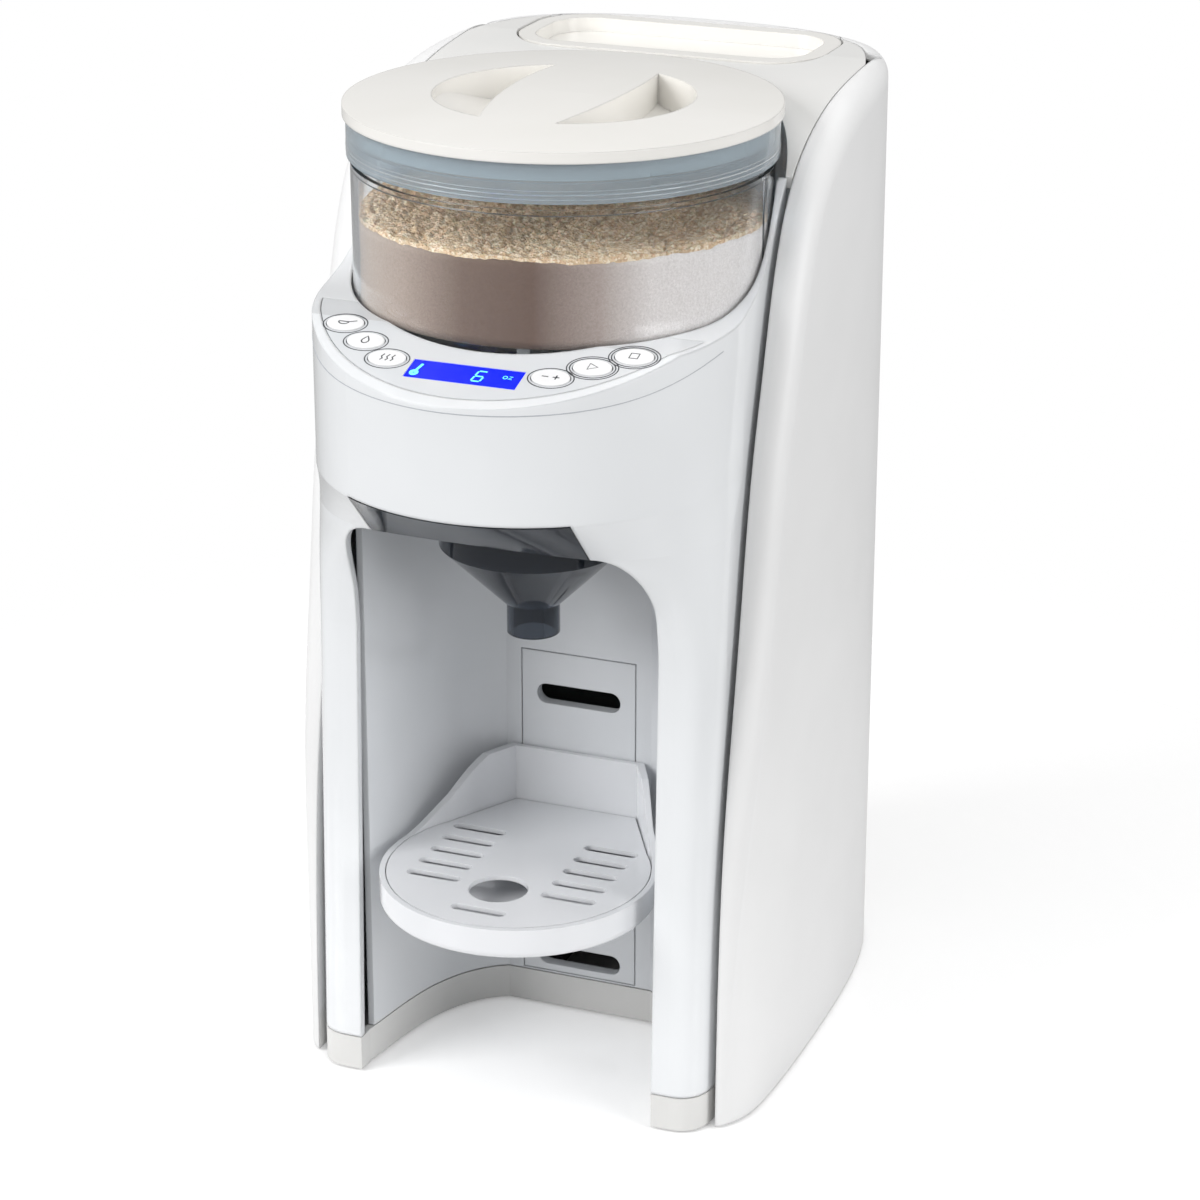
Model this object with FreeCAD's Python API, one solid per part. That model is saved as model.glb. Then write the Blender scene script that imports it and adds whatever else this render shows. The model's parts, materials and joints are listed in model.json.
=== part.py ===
import FreeCAD, Part
import math
import os

os.makedirs("parts", exist_ok=True)

V = FreeCAD.Vector

# Driving sizes of the whole machine, in millimetres.
# The origin is the middle of the footprint on the table, +Y points to the rear.
body_half_width = 92.2
body_rear_y = 133.4
body_top_z = 366.0
body_edge_round = 8.0
wall = 3.0
groove = 2.4
fit_gap = 0.4
below_table = -20.0
seat_gap = 0.1

# Feet and base band
foot_height = 1.0
foot_radius = 7.0
foot_recess = 1.0
base_band_height = 14.3
parting_gap = 0.5
floor_thickness = 3.0

# Front housing: two legs under an overhanging head
housing_half_width = 78.0
leg_front_y = -86.5
leg_front_top_y = -81.1
leg_top_z = 180.0
leg_corner = 11.0
head_axis_y = -50.2
head_half_depth = 83.3
head_low_z = 245.0
arch_edge_z = 227.0
arch_edge_y = -104.2
arch_corner_drop = 30.0
housing_wall = 3.0

# Filling bay between the legs
bay_half_width = 58.4
bay_back_half_width = 29.5
bay_back_y = -11.2
bay_wall = 2.5

# Control panel, a sloped crescent in front of the powder container
panel_slope = 0.3
panel_inner_z = 296.5
panel_inner_y = -100.2
panel_margin = 5.6
panel_side_gain = 3.2
panel_thickness = 2.4
panel_inset = 0.3
panel_end_y = -74.0
board_end_y = -84.0
button_half_width = 6.9
button_half_depth = 4.6
button_height = 3.2
button_proud = 0.6
button_round = 0.4
button_travel = 1.0
button_clearance = 0.35
button_places = [(-53.8, -93.6), (-42.0, -102.3), (-30.2, -110.6),
                 (30.2, -110.6), (42.0, -102.3), (53.8, -93.6)]
display_width = 41.0
display_depth = 10.8
display_y = -114.0
display_window_thickness = 1.2

# Powder container, its collar and its lid
powder_axis_y = -24.4
container_radius = 75.6
container_wall = 2.4
container_floor_z = 268.0
container_shoulder_z = 347.0
container_rim_z = 356.0
neck_radius = 74.0
container_foot_radius = 13.0
recess_radius = 79.2
front_recess_radius = 76.2
collar_height = 13.8
collar_step = 0.9
bayonet_drop = 9.0
bayonet_end = 14.0
bayonet_depth = 0.9
bayonet_turn = 46.0
lid_radius = 78.1
lid_rim_height = 4.0
lid_dome = 2.6
lid_top_z = 370.2
lid_skirt_depth = 6.8
lid_wall = 2.4
scoop_length = 84.0
scoop_width = 30.0
scoop_depth = 15.0
powder_level_z = 331.0
powder_dip = 5.0

# Portion wheel, stirrer and drive
wheel_radius = 30.0
wheel_height = 9.0
wheel_pockets = 10
pocket_radius = 5.2
pocket_ring_radius = 22.0
shaft_radius = 4.0
shaft_clearance = 0.05
stirrer_reach = 66.0
stirrer_arm_height = 4.0
stirrer_arm_width = 4.4
stirrer_arms = 3
stirrer_tip_length = 5.0
stirrer_tip_height = 16.0
stirrer_turn = 40.0
gear_module = 1.0
gear_teeth = 24
idler_teeth = 24
pinion_teeth = 12
gear_height = 6.0
motor_radius = 11.0
motor_length = 34.0

# Funnel with its dark front visor
funnel_axis_y = -54.9
visor_half_width = 41.0
funnel_tip_z = 177.2
funnel_tip_radius = 9.7
funnel_neck_z = 189.5
funnel_cone_radius = 34.0
funnel_bowl_z = 212.0
funnel_wall = 1.8
flange_thickness = 3.0
flange_half_width = 40.5

# Drip tray, its cover and the slotted wall panel that holds it
tray_top_z = 88.7
tray_height = 11.8
tray_axis_y = -70.8
tray_radius = 51.3
tray_wall = 2.2
tray_back_rise = 22.0
tray_edge_round = 3.0
tray_ledge_width = 1.6
tray_cover_thickness = 1.8
tray_hole_radius = 10.9
tray_hole_y = -89.7
tray_slot_length = 21.0
tray_slot_width = 4.4
hook_half_width = 15.0
hook_height = 6.0
hook_depth = 7.0
tray_heights = (19.4, 80.0, 130.0)
hook_slot_gap = 1.0
hook_slot_end = 13.0
slot_panel_top_z = 150.0
slot_panel_side = 8.0
slot_flange_gap = 0.3
slot_flange_thickness = 2.0

# Water tank, its lid and its valve
tank_half_width = 62.0
tank_front_y = 64.0
tank_rear_y = 122.0
tank_floor_z = 104.0
tank_rim_z = 352.0
tank_wall = 2.4
tank_corner = 22.0
shelf_z = 100.0
valve_radius = 5.0
tank_valve_x = 24.0
tank_valve_y = 92.0
tank_lid_dish = 5.5
tank_lid_rim = 7.0

# Water path
tube_radius = 3.0
nozzle_radius = 4.0
pump_radius = 17.0
pump_height = 30.0

# Base band screws, feet and floor
floor_top = foot_height + floor_thickness
foot_places = [(-67.0, -76.0), (67.0, -76.0), (-70.0, 20.0), (70.0, 20.0), (-56.0, 100.0), (56.0, 100.0)]
screw_radius = 1.6
screw_gap = 0.2
screw_length = 12.0
screw_head_radius = 3.0
screw_head_height = 1.6
screw_seat_z = foot_height + 2.0
screw_boss_radius = 4.5
base_screw_places = [(-66.0, -50.0), (66.0, -50.0), (-48.0, 60.0), (48.0, 60.0)]

# Housing seam and overhang
housing_rear_y = -8.0
# How far the overhang has drawn in at each height below the arch edge
arch_blend = [(190.0, 0.03), (200.0, 0.12), (208.0, 0.28), (217.0, 0.62)]
shoulder_y = -90.0

# Slope of the key plate, its board and its stand-offs
panel_tilt = math.degrees(math.atan(panel_slope))
panel_normal = V(0, -math.sin(math.radians(panel_tilt)), math.cos(math.radians(panel_tilt)))
standoff_places = [(-43.5, -93.8), (-24.0, -103.2), (24.0, -103.2), (43.5, -93.8)]
button_stem_length = 2.2
board_gap = button_height + button_stem_length + button_travel + 0.4
board_thickness = 1.6

# Rear top, rear cover and power inlet
top_rim = 6.5
rim_front_y = 14.0
rear_split = 58.0
rear_strip_y = tank_rear_y + 2 * fit_gap
vent_rows = 6
vent_low_z = 50.0
vent_pitch = 6.0
vent_half_length = 22.0
vent_width = 2.4
inlet_x = 20.0
inlet_z = 30.0
inlet_half_width = 8.0
inlet_half_height = 5.0
inlet_depth = 14.0
inlet_rear_y = 131.6
inlet_flange = 2.0
inlet_wall = 1.6
inlet_cavity = 9.0
inlet_pin_x = 3.6
inlet_pin_radius = 1.1
inlet_pin_length = 8.0

# Lid bar and scoops
bar_half_width = 17.0
scoop_bowl_radius = 26.0

# Rotor shaft, gears, motor and their bracket
shaft_foot_z = container_floor_z - 9.0
shaft_square = 5.0
deck_low = container_floor_z - seat_gap - wall
gear_z1 = container_floor_z - 12.0
gear_z0 = gear_z1 - gear_height
socket_depth = 3.0
motor_shaft_radius = 1.5
bracket_top = gear_z0 - fit_gap
bracket_thickness = 3.0
bracket_low = bracket_top - bracket_thickness
idler_angle = 110.0
pinion_angle = 120.0
idler_distance = gear_module * (gear_teeth + idler_teeth) / 2
pinion_distance = gear_module * (idler_teeth + pinion_teeth) / 2
idler_x = idler_distance * math.cos(math.radians(idler_angle))
idler_y = powder_axis_y + idler_distance * math.sin(math.radians(idler_angle))
pinion_x = idler_x + pinion_distance * math.cos(math.radians(pinion_angle))
pinion_y = idler_y + pinion_distance * math.sin(math.radians(pinion_angle))
gear_pin_radius = 2.5
idler_phase = idler_angle + 180.0 + 180.0 / idler_teeth
idler_lead = (pinion_angle - idler_phase) % (360.0 / idler_teeth)
pinion_phase = pinion_angle + 180.0 + idler_lead * idler_teeth / pinion_teeth + 180.0 / pinion_teeth
bracket_post_places = [(-28.0, 32.0), (28.0, 32.0), (-28.0, -50.0), (28.0, -50.0)]

# Bay ceiling, powder chute and visor
liner_top_z = arch_edge_z + flange_thickness + 2.0 + bay_wall
chute_low_radius = 14.0
chute_top_radius = 9.0
chute_wall = 1.6
chute_low_z = arch_edge_z + flange_thickness + 1.0
chute_top_z = deck_low - 0.3
chute_top_y = powder_axis_y - pocket_ring_radius - 1.5
visor_wall = 2.4

# Rear of the drip tray and the slots of its cover
tray_back_y = bay_back_y - 0.6
tray_rear_half = 27.0
tray_slot_rows = 5
tray_slot_pitch = 10.6
tray_slot_x = 26.6
tray_slot_front_y = -87.8
tray_slot_places = [(0.0, -108.2)]
for row in range(tray_slot_rows):
    tray_slot_places.append((-tray_slot_x, tray_slot_front_y + row * tray_slot_pitch))
    tray_slot_places.append((tray_slot_x, tray_slot_front_y + row * tray_slot_pitch))

# Tank seat and pads, pump, heater, control board and nozzle
seat_radius = 11.0
pad_x = 45.0
pad_depths = (78.0, 106.0)
pad_radius = 5.0
pump_x = -30.0
pump_y = 30.0
heater_x = 26.0
heater_y = 26.0
heater_low = 40.0
heater_high = 120.0
heater_half = 15.0
heater_fins = 5
heater_fin_pitch = 13.0
heater_fin_gap = 3.0
heater_fin_depth = 2.5
pump_mount = 8.0
pump_top = floor_top + pump_mount + pump_height + 12.0
suction_z = pump_top + 14.0
control_board_x0 = -40.0
control_board_x1 = 20.0
control_board_y = 104.0
control_board_low = 20.0
control_board_high = 84.0
nozzle_x = heater_x
nozzle_y = funnel_axis_y
nozzle_axis_z = liner_top_z + 4.5
nozzle_stub = 10.0
nozzle_wall = 2.0


def box(x0, y0, z0, x1, y1, z1):
    """A block between two opposite corners."""
    return Part.makeBox(x1 - x0, y1 - y0, z1 - z0, V(x0, y0, z0))


def cylinder(x, y, z0, z1, radius):
    """An upright cylinder between two heights."""
    return Part.makeCylinder(radius, z1 - z0, V(x, y, z0))


def cone(x, y, z0, z1, radius0, radius1):
    """An upright cone between two heights."""
    return Part.makeCone(radius0, radius1, z1 - z0, V(x, y, z0))


def fuse(shapes):
    """All shapes joined into one, without the seams between flush faces."""
    result = shapes[0]
    for shape in shapes[1:]:
        result = result.fuse(shape)
    return result.removeSplitter()


def spline(points):
    """A smooth curve through the points."""
    curve = Part.BSplineCurve()
    curve.interpolate([V(*point) for point in points])
    return curve.toShape()


def line(start, end):
    return Part.makeLine(V(*start), V(*end))


def prism(wire, height):
    """A flat outline raised by a height."""
    return Part.Face(wire).extrude(V(0, 0, height))


def mirrored(points):
    """Points of a half outline that ends on the middle, with the other half added, mirrored in x."""
    other = [(-x, y, z) for x, y, z in reversed(points)]
    return points + other[1:]


def rounded_rectangle(x0, y0, x1, y1, corner, z0, z1):
    """A block whose four upright edges are round."""
    block = box(x0, y0, z0, x1, y1, z1)
    upright = [edge for edge in block.Edges
               if abs(edge.Vertexes[0].Point.z - edge.Vertexes[1].Point.z) > 1e-6]
    return block.makeFillet(corner, upright)


def profile_points(inset):
    """Side profile of the body: the seam climbs and sweeps back to the top. An inset moves it inwards."""
    points = [(-78.8, 0.0), (-77.0, 53.0), (-70.9, 122.0), (-58.8, 187.0),
              (-46.6, 250.0), (-37.4, 280.0), (-25.2, 316.0), (-10.2, 340.0),
              (10.8, 354.0), (44.8, 363.0), (82.0, body_top_z)]
    moved = []
    for index, (y, z) in enumerate(points):
        before = points[max(index - 1, 0)]
        after = points[min(index + 1, len(points) - 1)]
        dy = after[0] - before[0]
        dz = after[1] - before[1]
        length = math.hypot(dy, dz)
        moved.append((y + inset * dz / length, z - inset * dy / length))
    return moved


def profile_block(inset, half_width):
    """Everything behind and below the side profile, as wide as asked."""
    points = [(-half_width, y, z) for y, z in profile_points(inset)]
    end = points[-1]
    far = (-half_width, body_rear_y + 40.0, end[2])
    low_far = (-half_width, far[1], below_table)
    low_near = (-half_width, points[0][1], below_table)
    outline = [spline(points), line(end, far), line(far, low_far), line(low_far, low_near),
               line(low_near, points[0])]
    return Part.Face(Part.Wire(outline)).extrude(V(2 * half_width, 0, 0))


def body_plan(inset, z):
    """Outline of the rear body on plan, set in from the outer face."""
    rear = body_rear_y - inset
    side = body_half_width - inset
    half = [(side - 11.8, -78.8 + inset), (side - 5.2, -70.0 + inset), (side - 1.2, -50.0),
            (side, -8.0), (side - 0.6, 32.0), (side - 3.0, 66.0), (side - 7.5, rear - 44.0),
            (side - 17.0, rear - 24.0), (side - 34.0, rear - 11.0),
            (side - 60.0, rear - 2.2), (0.0, rear)]
    points = mirrored([(x, y, z) for x, y in half])
    return Part.Wire([spline(points), line(points[-1], points[0])])


def body_block(inset, low_z):
    """The whole rear body with softly rounded front and top edges."""
    block = prism(body_plan(inset, low_z), body_top_z - low_z + 1)
    block = block.common(profile_block(inset, body_half_width + 5))
    edges = []
    for edge in block.Edges:
        bounds = edge.BoundBox
        climbs = bounds.ZMax - bounds.ZMin > body_top_z / 2
        on_top = bounds.ZMin > body_top_z - inset - 1 and bounds.YMax > body_rear_y - inset - 1
        if climbs or on_top:
            edges.append(edge)
    return block.makeFillet(body_edge_round - 0.8 * inset, edges)


def bay_prism(extra, low_z, high_z):
    """The filling bay: wide at the front, narrowing in a curve to its back wall."""
    half = [(bay_half_width + extra, -78.8), (bay_half_width - 3.2 + extra, -59.0),
            (bay_half_width - 9.3 + extra, -35.0), (bay_half_width - 19.2 + extra, -18.6),
            (bay_back_half_width + extra, bay_back_y + extra)]
    right = [(x, y, low_z) for x, y in half]
    left = [(-x, y, low_z) for x, y in reversed(half)]
    front = -160.0
    outline = [spline(right), line(right[-1], left[0]), spline(left)]
    outline.append(line(left[-1], (left[-1][0], front, low_z)))
    outline.append(line((left[-1][0], front, low_z), (right[0][0], front, low_z)))
    outline.append(line((right[0][0], front, low_z), right[0]))
    return prism(Part.Wire(outline), high_z - low_z)


# Sections of the front housing, from the legs up to the overhanging head.
# Each is half an outline: four poles round the corner, then one pole of the front curve.

def leg_section(front, z, inset):
    """Half outline through the two legs, square with rounded front corners."""
    x = housing_half_width - inset
    y = front + inset
    return [(x, y + 1.5 * leg_corner, z), (x, y + 0.45 * leg_corner, z), (x - 0.45 * leg_corner, y, z),
            (x - leg_corner - 2.0, y, z), (0.4 * x, y, z)]


def arch_section(inset):
    """Half outline at the arch's edge, where the legs have drawn out into the head."""
    x = housing_half_width - inset
    y = arch_edge_y + inset
    return [(x, y + 42.0, arch_edge_z), (x - 0.5, y + 25.0, arch_edge_z),
            (x - 18.0, y + 3.5, arch_edge_z), (visor_half_width, y + 1.0, arch_edge_z),
            (0.5 * visor_half_width, y - 0.8, arch_edge_z)]


def head_section(z, inset):
    """Half of an ellipse, split where the visor ends."""
    a = housing_half_width - inset
    b = head_half_depth - inset
    split = math.acos(visor_half_width / a)
    side_pull = 4.0 / 3.0 * math.tan(split / 4)
    front_pull = 4.0 / 3.0 * math.tan((math.pi - 2 * split) / 4)
    x = a * math.cos(split)
    y = head_axis_y - b * math.sin(split)
    dx = a * math.sin(split)
    dy = b * math.cos(split)
    return [(a, head_axis_y, z), (a, head_axis_y - b * side_pull, z),
            (x + dx * side_pull, y + dy * side_pull, z), (x, y, z),
            (x - dx * front_pull, y - dy * front_pull, z)]


def curve(poles):
    """A curve pulled towards its poles, from the first to the last."""
    bezier = Part.BezierCurve()
    bezier.setPoles([V(*pole) for pole in poles])
    return bezier.toShape()


def flip(points):
    """The same points on the other side of the middle, in reverse order."""
    return [(-x, y, z) for x, y, z in reversed(points)]


def section_wire(half):
    """Closed outline of the housing from half of it, straight across at the rear."""
    z = half[0][2]
    corner = half[:4]
    pole = half[4]
    front = [half[3], pole, (-pole[0], pole[1], z), (-half[3][0], half[3][1], z)]
    right = (half[0][0], housing_rear_y, z)
    left = (-half[0][0], housing_rear_y, z)
    return Part.Wire([line(right, half[0]), curve(corner), curve(front), curve(flip(corner)),
                      line((-half[0][0], half[0][1], z), left), line(left, right)])


def housing_block(inset, low_z, high_z):
    """Solid of the front housing, or of its hollow when an inset is given."""
    leg_top = leg_section(leg_front_top_y, leg_top_z, inset)
    arch = arch_section(inset)
    blend = [leg_top]
    for z, share in arch_blend:
        blend.append([tuple(share * a + (1 - share) * b for a, b in zip(high, low))[:2] + (z,)
                      for high, low in zip(arch, leg_top)])
    blend.append(arch)
    groups = [([leg_section(leg_front_y, low_z, inset), leg_top], True),
              (blend, False),
              ([arch, head_section(head_low_z, inset)], True),
              ([head_section(head_low_z, inset), head_section(high_z, inset)], True)]
    parts = [Part.makeLoft([section_wire(half) for half in group], True, ruled) for group, ruled in groups]
    return fuse(parts)


def panel_plane_z(y):
    """Height of the key plate's plane at a depth."""
    return panel_inner_z + panel_slope * (y - panel_inner_y)


def on_panel(shape, x, y, lift):
    """Tips a shape made flat at the origin to the panel's slope and puts it in place."""
    placed = shape.copy()
    placed.rotate(V(0, 0, 0), V(1, 0, 0), panel_tilt)
    placed.translate(V(x, y, panel_plane_z(y)) + panel_normal * lift)
    return placed


def below_panel(drop):
    """A large block under the panel plane, lowered square to it by the drop."""
    slab = Part.makeBox(400, 400, 300, V(-200, -200, -300))
    return on_panel(slab, 0, panel_inner_y, -drop)


def shoulder_block(inset):
    """Everything below the housing's top: the sloped panel, then shoulders that climb to the seam."""
    half = housing_half_width + 10
    start = (-half, -160.0, panel_plane_z(-160.0) - inset)
    bend = (-half, shoulder_y, panel_plane_z(shoulder_y) - inset)
    rise = [(-80.0, 300.0), (-69.5, 300.8), (-53.9, 302.6), (-43.4, 306.0), (-33.2, 311.5),
            (-24.6, 320.5), (-10.2, 340.0), (0.2, 348.6)]
    points = [bend] + [(-half, y + 0.5 * inset, z - inset) for y, z in rise]
    end = points[-1]
    low = 0.0
    outline = [line(start, bend), spline(points), line(end, (-half, end[1], low)),
               line((-half, end[1], low), (-half, start[1], low)), line((-half, start[1], low), start)]
    return Part.Face(Part.Wire(outline)).extrude(V(2 * half, 0, 0))


def base_outline(inset, low_z, high_z):
    """Footprint inside the side panels: the rear body and two legs with the bay left open."""
    rear = prism(body_plan(inset + wall + fit_gap, low_z), high_z - low_z)
    legs = prism(section_wire(leg_section(leg_front_y, low_z, inset)), high_z - low_z)
    rear = rear.cut(box(-200, -200, low_z - 1, 200, housing_rear_y, high_z + 1))
    return rear.fuse(legs).cut(bay_prism(inset, low_z - 1, high_z + 1)).removeSplitter()


def powder_cylinder(radius, z0, z1):
    """An upright cylinder on the powder axis."""
    return cylinder(0, powder_axis_y, z0, z1, radius)


def make_base_plinth():
    """Base band under the legs and the body, open over the floor plate, with its screw and foot holes."""
    outer = base_outline(0, foot_height, base_band_height)
    inner = base_outline(wall, foot_height + floor_thickness, base_band_height + 1)
    plinth = outer.cut(inner)
    for x, y in foot_places:
        plinth = plinth.cut(cylinder(x, y, foot_height - 1, foot_height + foot_recess, foot_radius))
    for x, y in base_screw_places:
        plinth = plinth.cut(cylinder(x, y, 0, floor_top + 1, screw_radius + screw_gap))
        plinth = plinth.cut(cylinder(x, y, 0, screw_seat_z, screw_head_radius + screw_gap))
    return plinth


def make_rubber_feet():
    """Six rubber discs set in shallow recesses under the base."""
    feet = []
    for x, y in foot_places:
        feet.append(cylinder(x, y, 0, foot_height + foot_recess, foot_radius - seat_gap))
    return Part.makeCompound(feet)


def make_base_screws():
    """Four screws from below that hold the base to the inner frame."""
    screws = []
    seat = screw_seat_z - seat_gap
    for x, y in base_screw_places:
        head = cylinder(x, y, seat - screw_head_height, seat, screw_head_radius)
        shank = cylinder(x, y, seat - 0.5, seat + screw_length, screw_radius)
        screws.append(head.fuse(shank).removeSplitter())
    return Part.makeCompound(screws)


def arch_cut():
    """The opening under the head, with rounded upper corners on its front view."""
    bottom = base_band_height
    half = bay_half_width
    top = arch_edge_z
    corner = arch_corner_drop
    front = -160.0
    rise = 17.4
    right = spline([(half, front, top - corner), (half - 1.4, front, top - corner * 0.45),
                    (half - rise * 0.35, front, top - corner * 0.14), (half - rise, front, top)])
    left = spline([(-half + rise, front, top), (-half + rise * 0.35, front, top - corner * 0.14),
                   (-half + 1.4, front, top - corner * 0.45), (-half, front, top - corner)])
    outline = [line((half, front, bottom), (half, front, top - corner)), right,
               line((half - rise, front, top), (-half + rise, front, top)), left,
               line((-half, front, top - corner), (-half, front, bottom)),
               line((-half, front, bottom), (half, front, bottom))]
    return Part.Face(Part.Wire(outline)).extrude(V(0, 150, 0))


def visor_window(extra):
    """Slot in the head that the funnel's visor fills."""
    half = visor_half_width + extra
    return box(-half, -160, arch_edge_z - 2, half, -84, head_low_z + extra)


def crescent(margin, end_y):
    """Upright block with the key plate's outline, set in from the head's rim."""
    a = housing_half_width + panel_side_gain - margin
    b = head_half_depth - margin
    ellipse = Part.Ellipse(V(0, head_axis_y - b, 230), V(a, head_axis_y, 230), V(0, head_axis_y, 230))
    plate = Part.Face(Part.Wire([ellipse.toShape()])).extrude(V(0, 0, 120))
    plate = plate.common(box(-100, -160, 200, 100, end_y, 400))
    return plate.cut(powder_cylinder(front_recess_radius + 0.1 * margin, 200, 400))


def panel_sheet(margin, low, high, end_y):
    """The crescent between two depths under the housing's top skin, which it follows."""
    return crescent(margin, end_y).common(shoulder_block(low)).cut(shoulder_block(high))


def make_front_housing():
    """Hollow front housing: two legs, the arch and the overhanging head with its sloped recess."""
    low = base_band_height + parting_gap
    shell = housing_block(0, low, 360).common(shoulder_block(0))
    hollow = housing_block(housing_wall, low - 0.01, 360).common(shoulder_block(housing_wall))
    hollow = hollow.fuse(box(-housing_half_width + housing_wall, housing_rear_y - 1, low - 1,
                             housing_half_width - housing_wall, housing_rear_y + 1, 400))
    shell = shell.cut(hollow)
    shell = shell.cut(arch_cut())
    shell = shell.cut(visor_window(fit_gap))
    shell = shell.cut(powder_cylinder(front_recess_radius, 262, 400))
    shell = shell.cut(panel_sheet(panel_margin, -10, panel_thickness + seat_gap, panel_end_y))
    inside = panel_sheet(panel_margin + 2.5, -1, panel_thickness + 10, panel_end_y - 2.5)
    shell = shell.cut(inside)
    for x, y in button_places:
        well = oval(button_half_width + 2 * button_clearance, button_half_depth + 2 * button_clearance, 20)
        shell = shell.cut(on_panel(well, x, y, -12))
    return shell.removeSplitter()


def make_bay_liner():
    """Wall of the filling bay with its ceiling and the two rails that carry the funnel."""
    low = base_band_height + parting_gap
    outer = bay_prism(bay_wall, low, arch_edge_z + flange_thickness + 2 + bay_wall)
    inner = bay_prism(0, low - 1, arch_edge_z + flange_thickness + 2)
    liner = outer.cut(inner)
    liner = liner.common(box(-80, -76.0, 0, 80, 60, 300))
    skin = housing_block(0, low, 360).cut(housing_block(housing_wall + fit_gap, low, 360))
    liner = liner.cut(skin.cut(box(-90, -60, 0, 90, 10, 400)))
    liner = liner.cut(tray_panel_block(fit_gap))
    liner = liner.cut(cylinder(0, funnel_axis_y, 225, 300, chute_low_radius + 2))
    liner = liner.cut(cylinder(nozzle_x, nozzle_y, 225, 300, nozzle_radius + fit_gap))
    rail_low = arch_edge_z - 3.2
    for side in (-1, 1):
        x0 = side * (flange_half_width + fit_gap)
        x1 = side * (flange_half_width + 3.5)
        hanger = box(min(x0, x1), -75, rail_low, max(x0, x1), -32, arch_edge_z + flange_thickness + 2.2)
        x2 = side * (flange_half_width - 4.5)
        ledge = box(min(x2, x1), -75, rail_low, max(x2, x1), -32, arch_edge_z - fit_gap)
        rail = hanger.fuse(ledge).cut(bay_prism(bay_wall, 0, 300).cut(bay_prism(0, 0, 300)))
        liner = liner.fuse(rail)
    return liner.removeSplitter()


def tray_panel_block(extra):
    """Room for the slotted panel in the bay's back wall."""
    half = hook_half_width + slot_panel_side + extra
    return box(-half, bay_back_y - 1, base_band_height + parting_gap + 1 - extra,
               half, bay_back_y + bay_wall + 1, slot_panel_top_z + extra)


def wall_slot(low_z):
    """A slot with round ends, cut through the panel for the tray's hook."""
    radius = hook_height / 2 + hook_slot_gap
    centre_z = low_z + hook_height / 2
    front = bay_back_y - 1
    slot = box(-hook_slot_end, front, centre_z - radius, hook_slot_end, bay_back_y + 20, centre_z + radius)
    for side in (-1, 1):
        slot = slot.fuse(Part.makeCylinder(radius, bay_back_y + 20 - front,
                                           V(side * hook_slot_end, front, centre_z), V(0, 1, 0)))
    return slot.removeSplitter()


def make_tray_slot_panel():
    """Back-wall insert with one hook slot for each tray height, on a wider flange behind the wall."""
    half = hook_half_width + slot_panel_side
    low = base_band_height + parting_gap + 1
    rear = bay_back_y + bay_wall
    flange_y = rear + slot_flange_gap
    panel = box(-half, bay_back_y, low, half, flange_y + 0.1, slot_panel_top_z)
    flange = box(-half - 5, flange_y, low, half + 5, flange_y + slot_flange_thickness, slot_panel_top_z + 5)
    panel = panel.fuse(flange)
    for height in tray_heights:
        panel = panel.cut(wall_slot(height))
    return panel.removeSplitter()


def make_side_panel(side):
    """One matte side of the body, with an inner return beside the front housing."""
    shell = body_block(0, foot_height).cut(body_block(wall, foot_height - 1))
    shell = shell.common(box(0, -200, foot_height, 200, 200, 400))
    inner = housing_half_width + groove
    shell = shell.cut(box(-inner, -200, -10, inner, body_rear_y - 40, 500))
    liner_end = housing_rear_y - fit_gap
    liner = body_block(0, foot_height).common(box(inner, -200, foot_height, inner + wall, liner_end, 400))
    shell = shell.fuse(liner)
    rim = prism(body_plan(top_rim, 0), 500)
    shell = shell.cut(rim.common(box(-inner, 0, 340, inner, 200, 500)))
    shell = shell.cut(tank_well(2 * fit_gap, 340, 500))
    shell = shell.cut(box(-rear_split, 0, -10, rear_split, 200, 500))
    if side < 0:
        shell = shell.mirror(V(0, 0, 0), V(1, 0, 0))
    return shell.removeSplitter()


def make_rear_cover():
    """Middle of the rear with its vents; its top edge closes the strip behind the tank."""
    half = rear_split - fit_gap
    shell = body_block(0, foot_height).cut(body_block(wall, foot_height - 1))
    cover = shell.common(box(-half, 40, foot_height, half, 200, 500))
    cover = cover.cut(prism(body_plan(top_rim, 0), 500).common(box(-200, 0, 340, 200, rear_strip_y, 500)))
    cover = cover.cut(tank_well(2 * fit_gap, 340, 500))
    for row in range(vent_rows):
        z = vent_low_z + row * vent_pitch
        cover = cover.cut(box(-vent_half_length, 100, z, vent_half_length, 200, z + vent_width))
    return cover.cut(inlet_block(seat_gap, 100, 200)).removeSplitter()


def inlet_block(extra, y0, y1):
    """The inlet's outline with a clearance, between two depths."""
    half_width = inlet_half_width + extra
    half_height = inlet_half_height + extra
    return box(inlet_x - half_width, y0, inlet_z - half_height,
               inlet_x + half_width, y1, inlet_z + half_height)


def make_inlet_socket():
    """Recessed two-pin power inlet held by a flange inside the rear cover."""
    rear = inlet_rear_y
    flange = inlet_block(inlet_flange, rear - 6.6, rear - 4.2)
    socket = inlet_block(0, rear - inlet_depth, rear).fuse(flange)
    socket = socket.cut(inlet_block(-inlet_wall, rear - inlet_cavity, rear + 1))
    for side in (-1, 1):
        start = V(inlet_x + side * inlet_pin_x, rear - inlet_cavity - 0.5, inlet_z)
        socket = socket.fuse(Part.makeCylinder(inlet_pin_radius, inlet_pin_length, start, V(0, 1, 0)))
    return socket.removeSplitter()


def tank_well(extra, z0, z1):
    """The tank's outline with a clearance, between two heights."""
    return rounded_rectangle(-tank_half_width - extra, tank_front_y - extra, tank_half_width + extra,
                             tank_rear_y + extra, tank_corner + extra, z0, z1)


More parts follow.
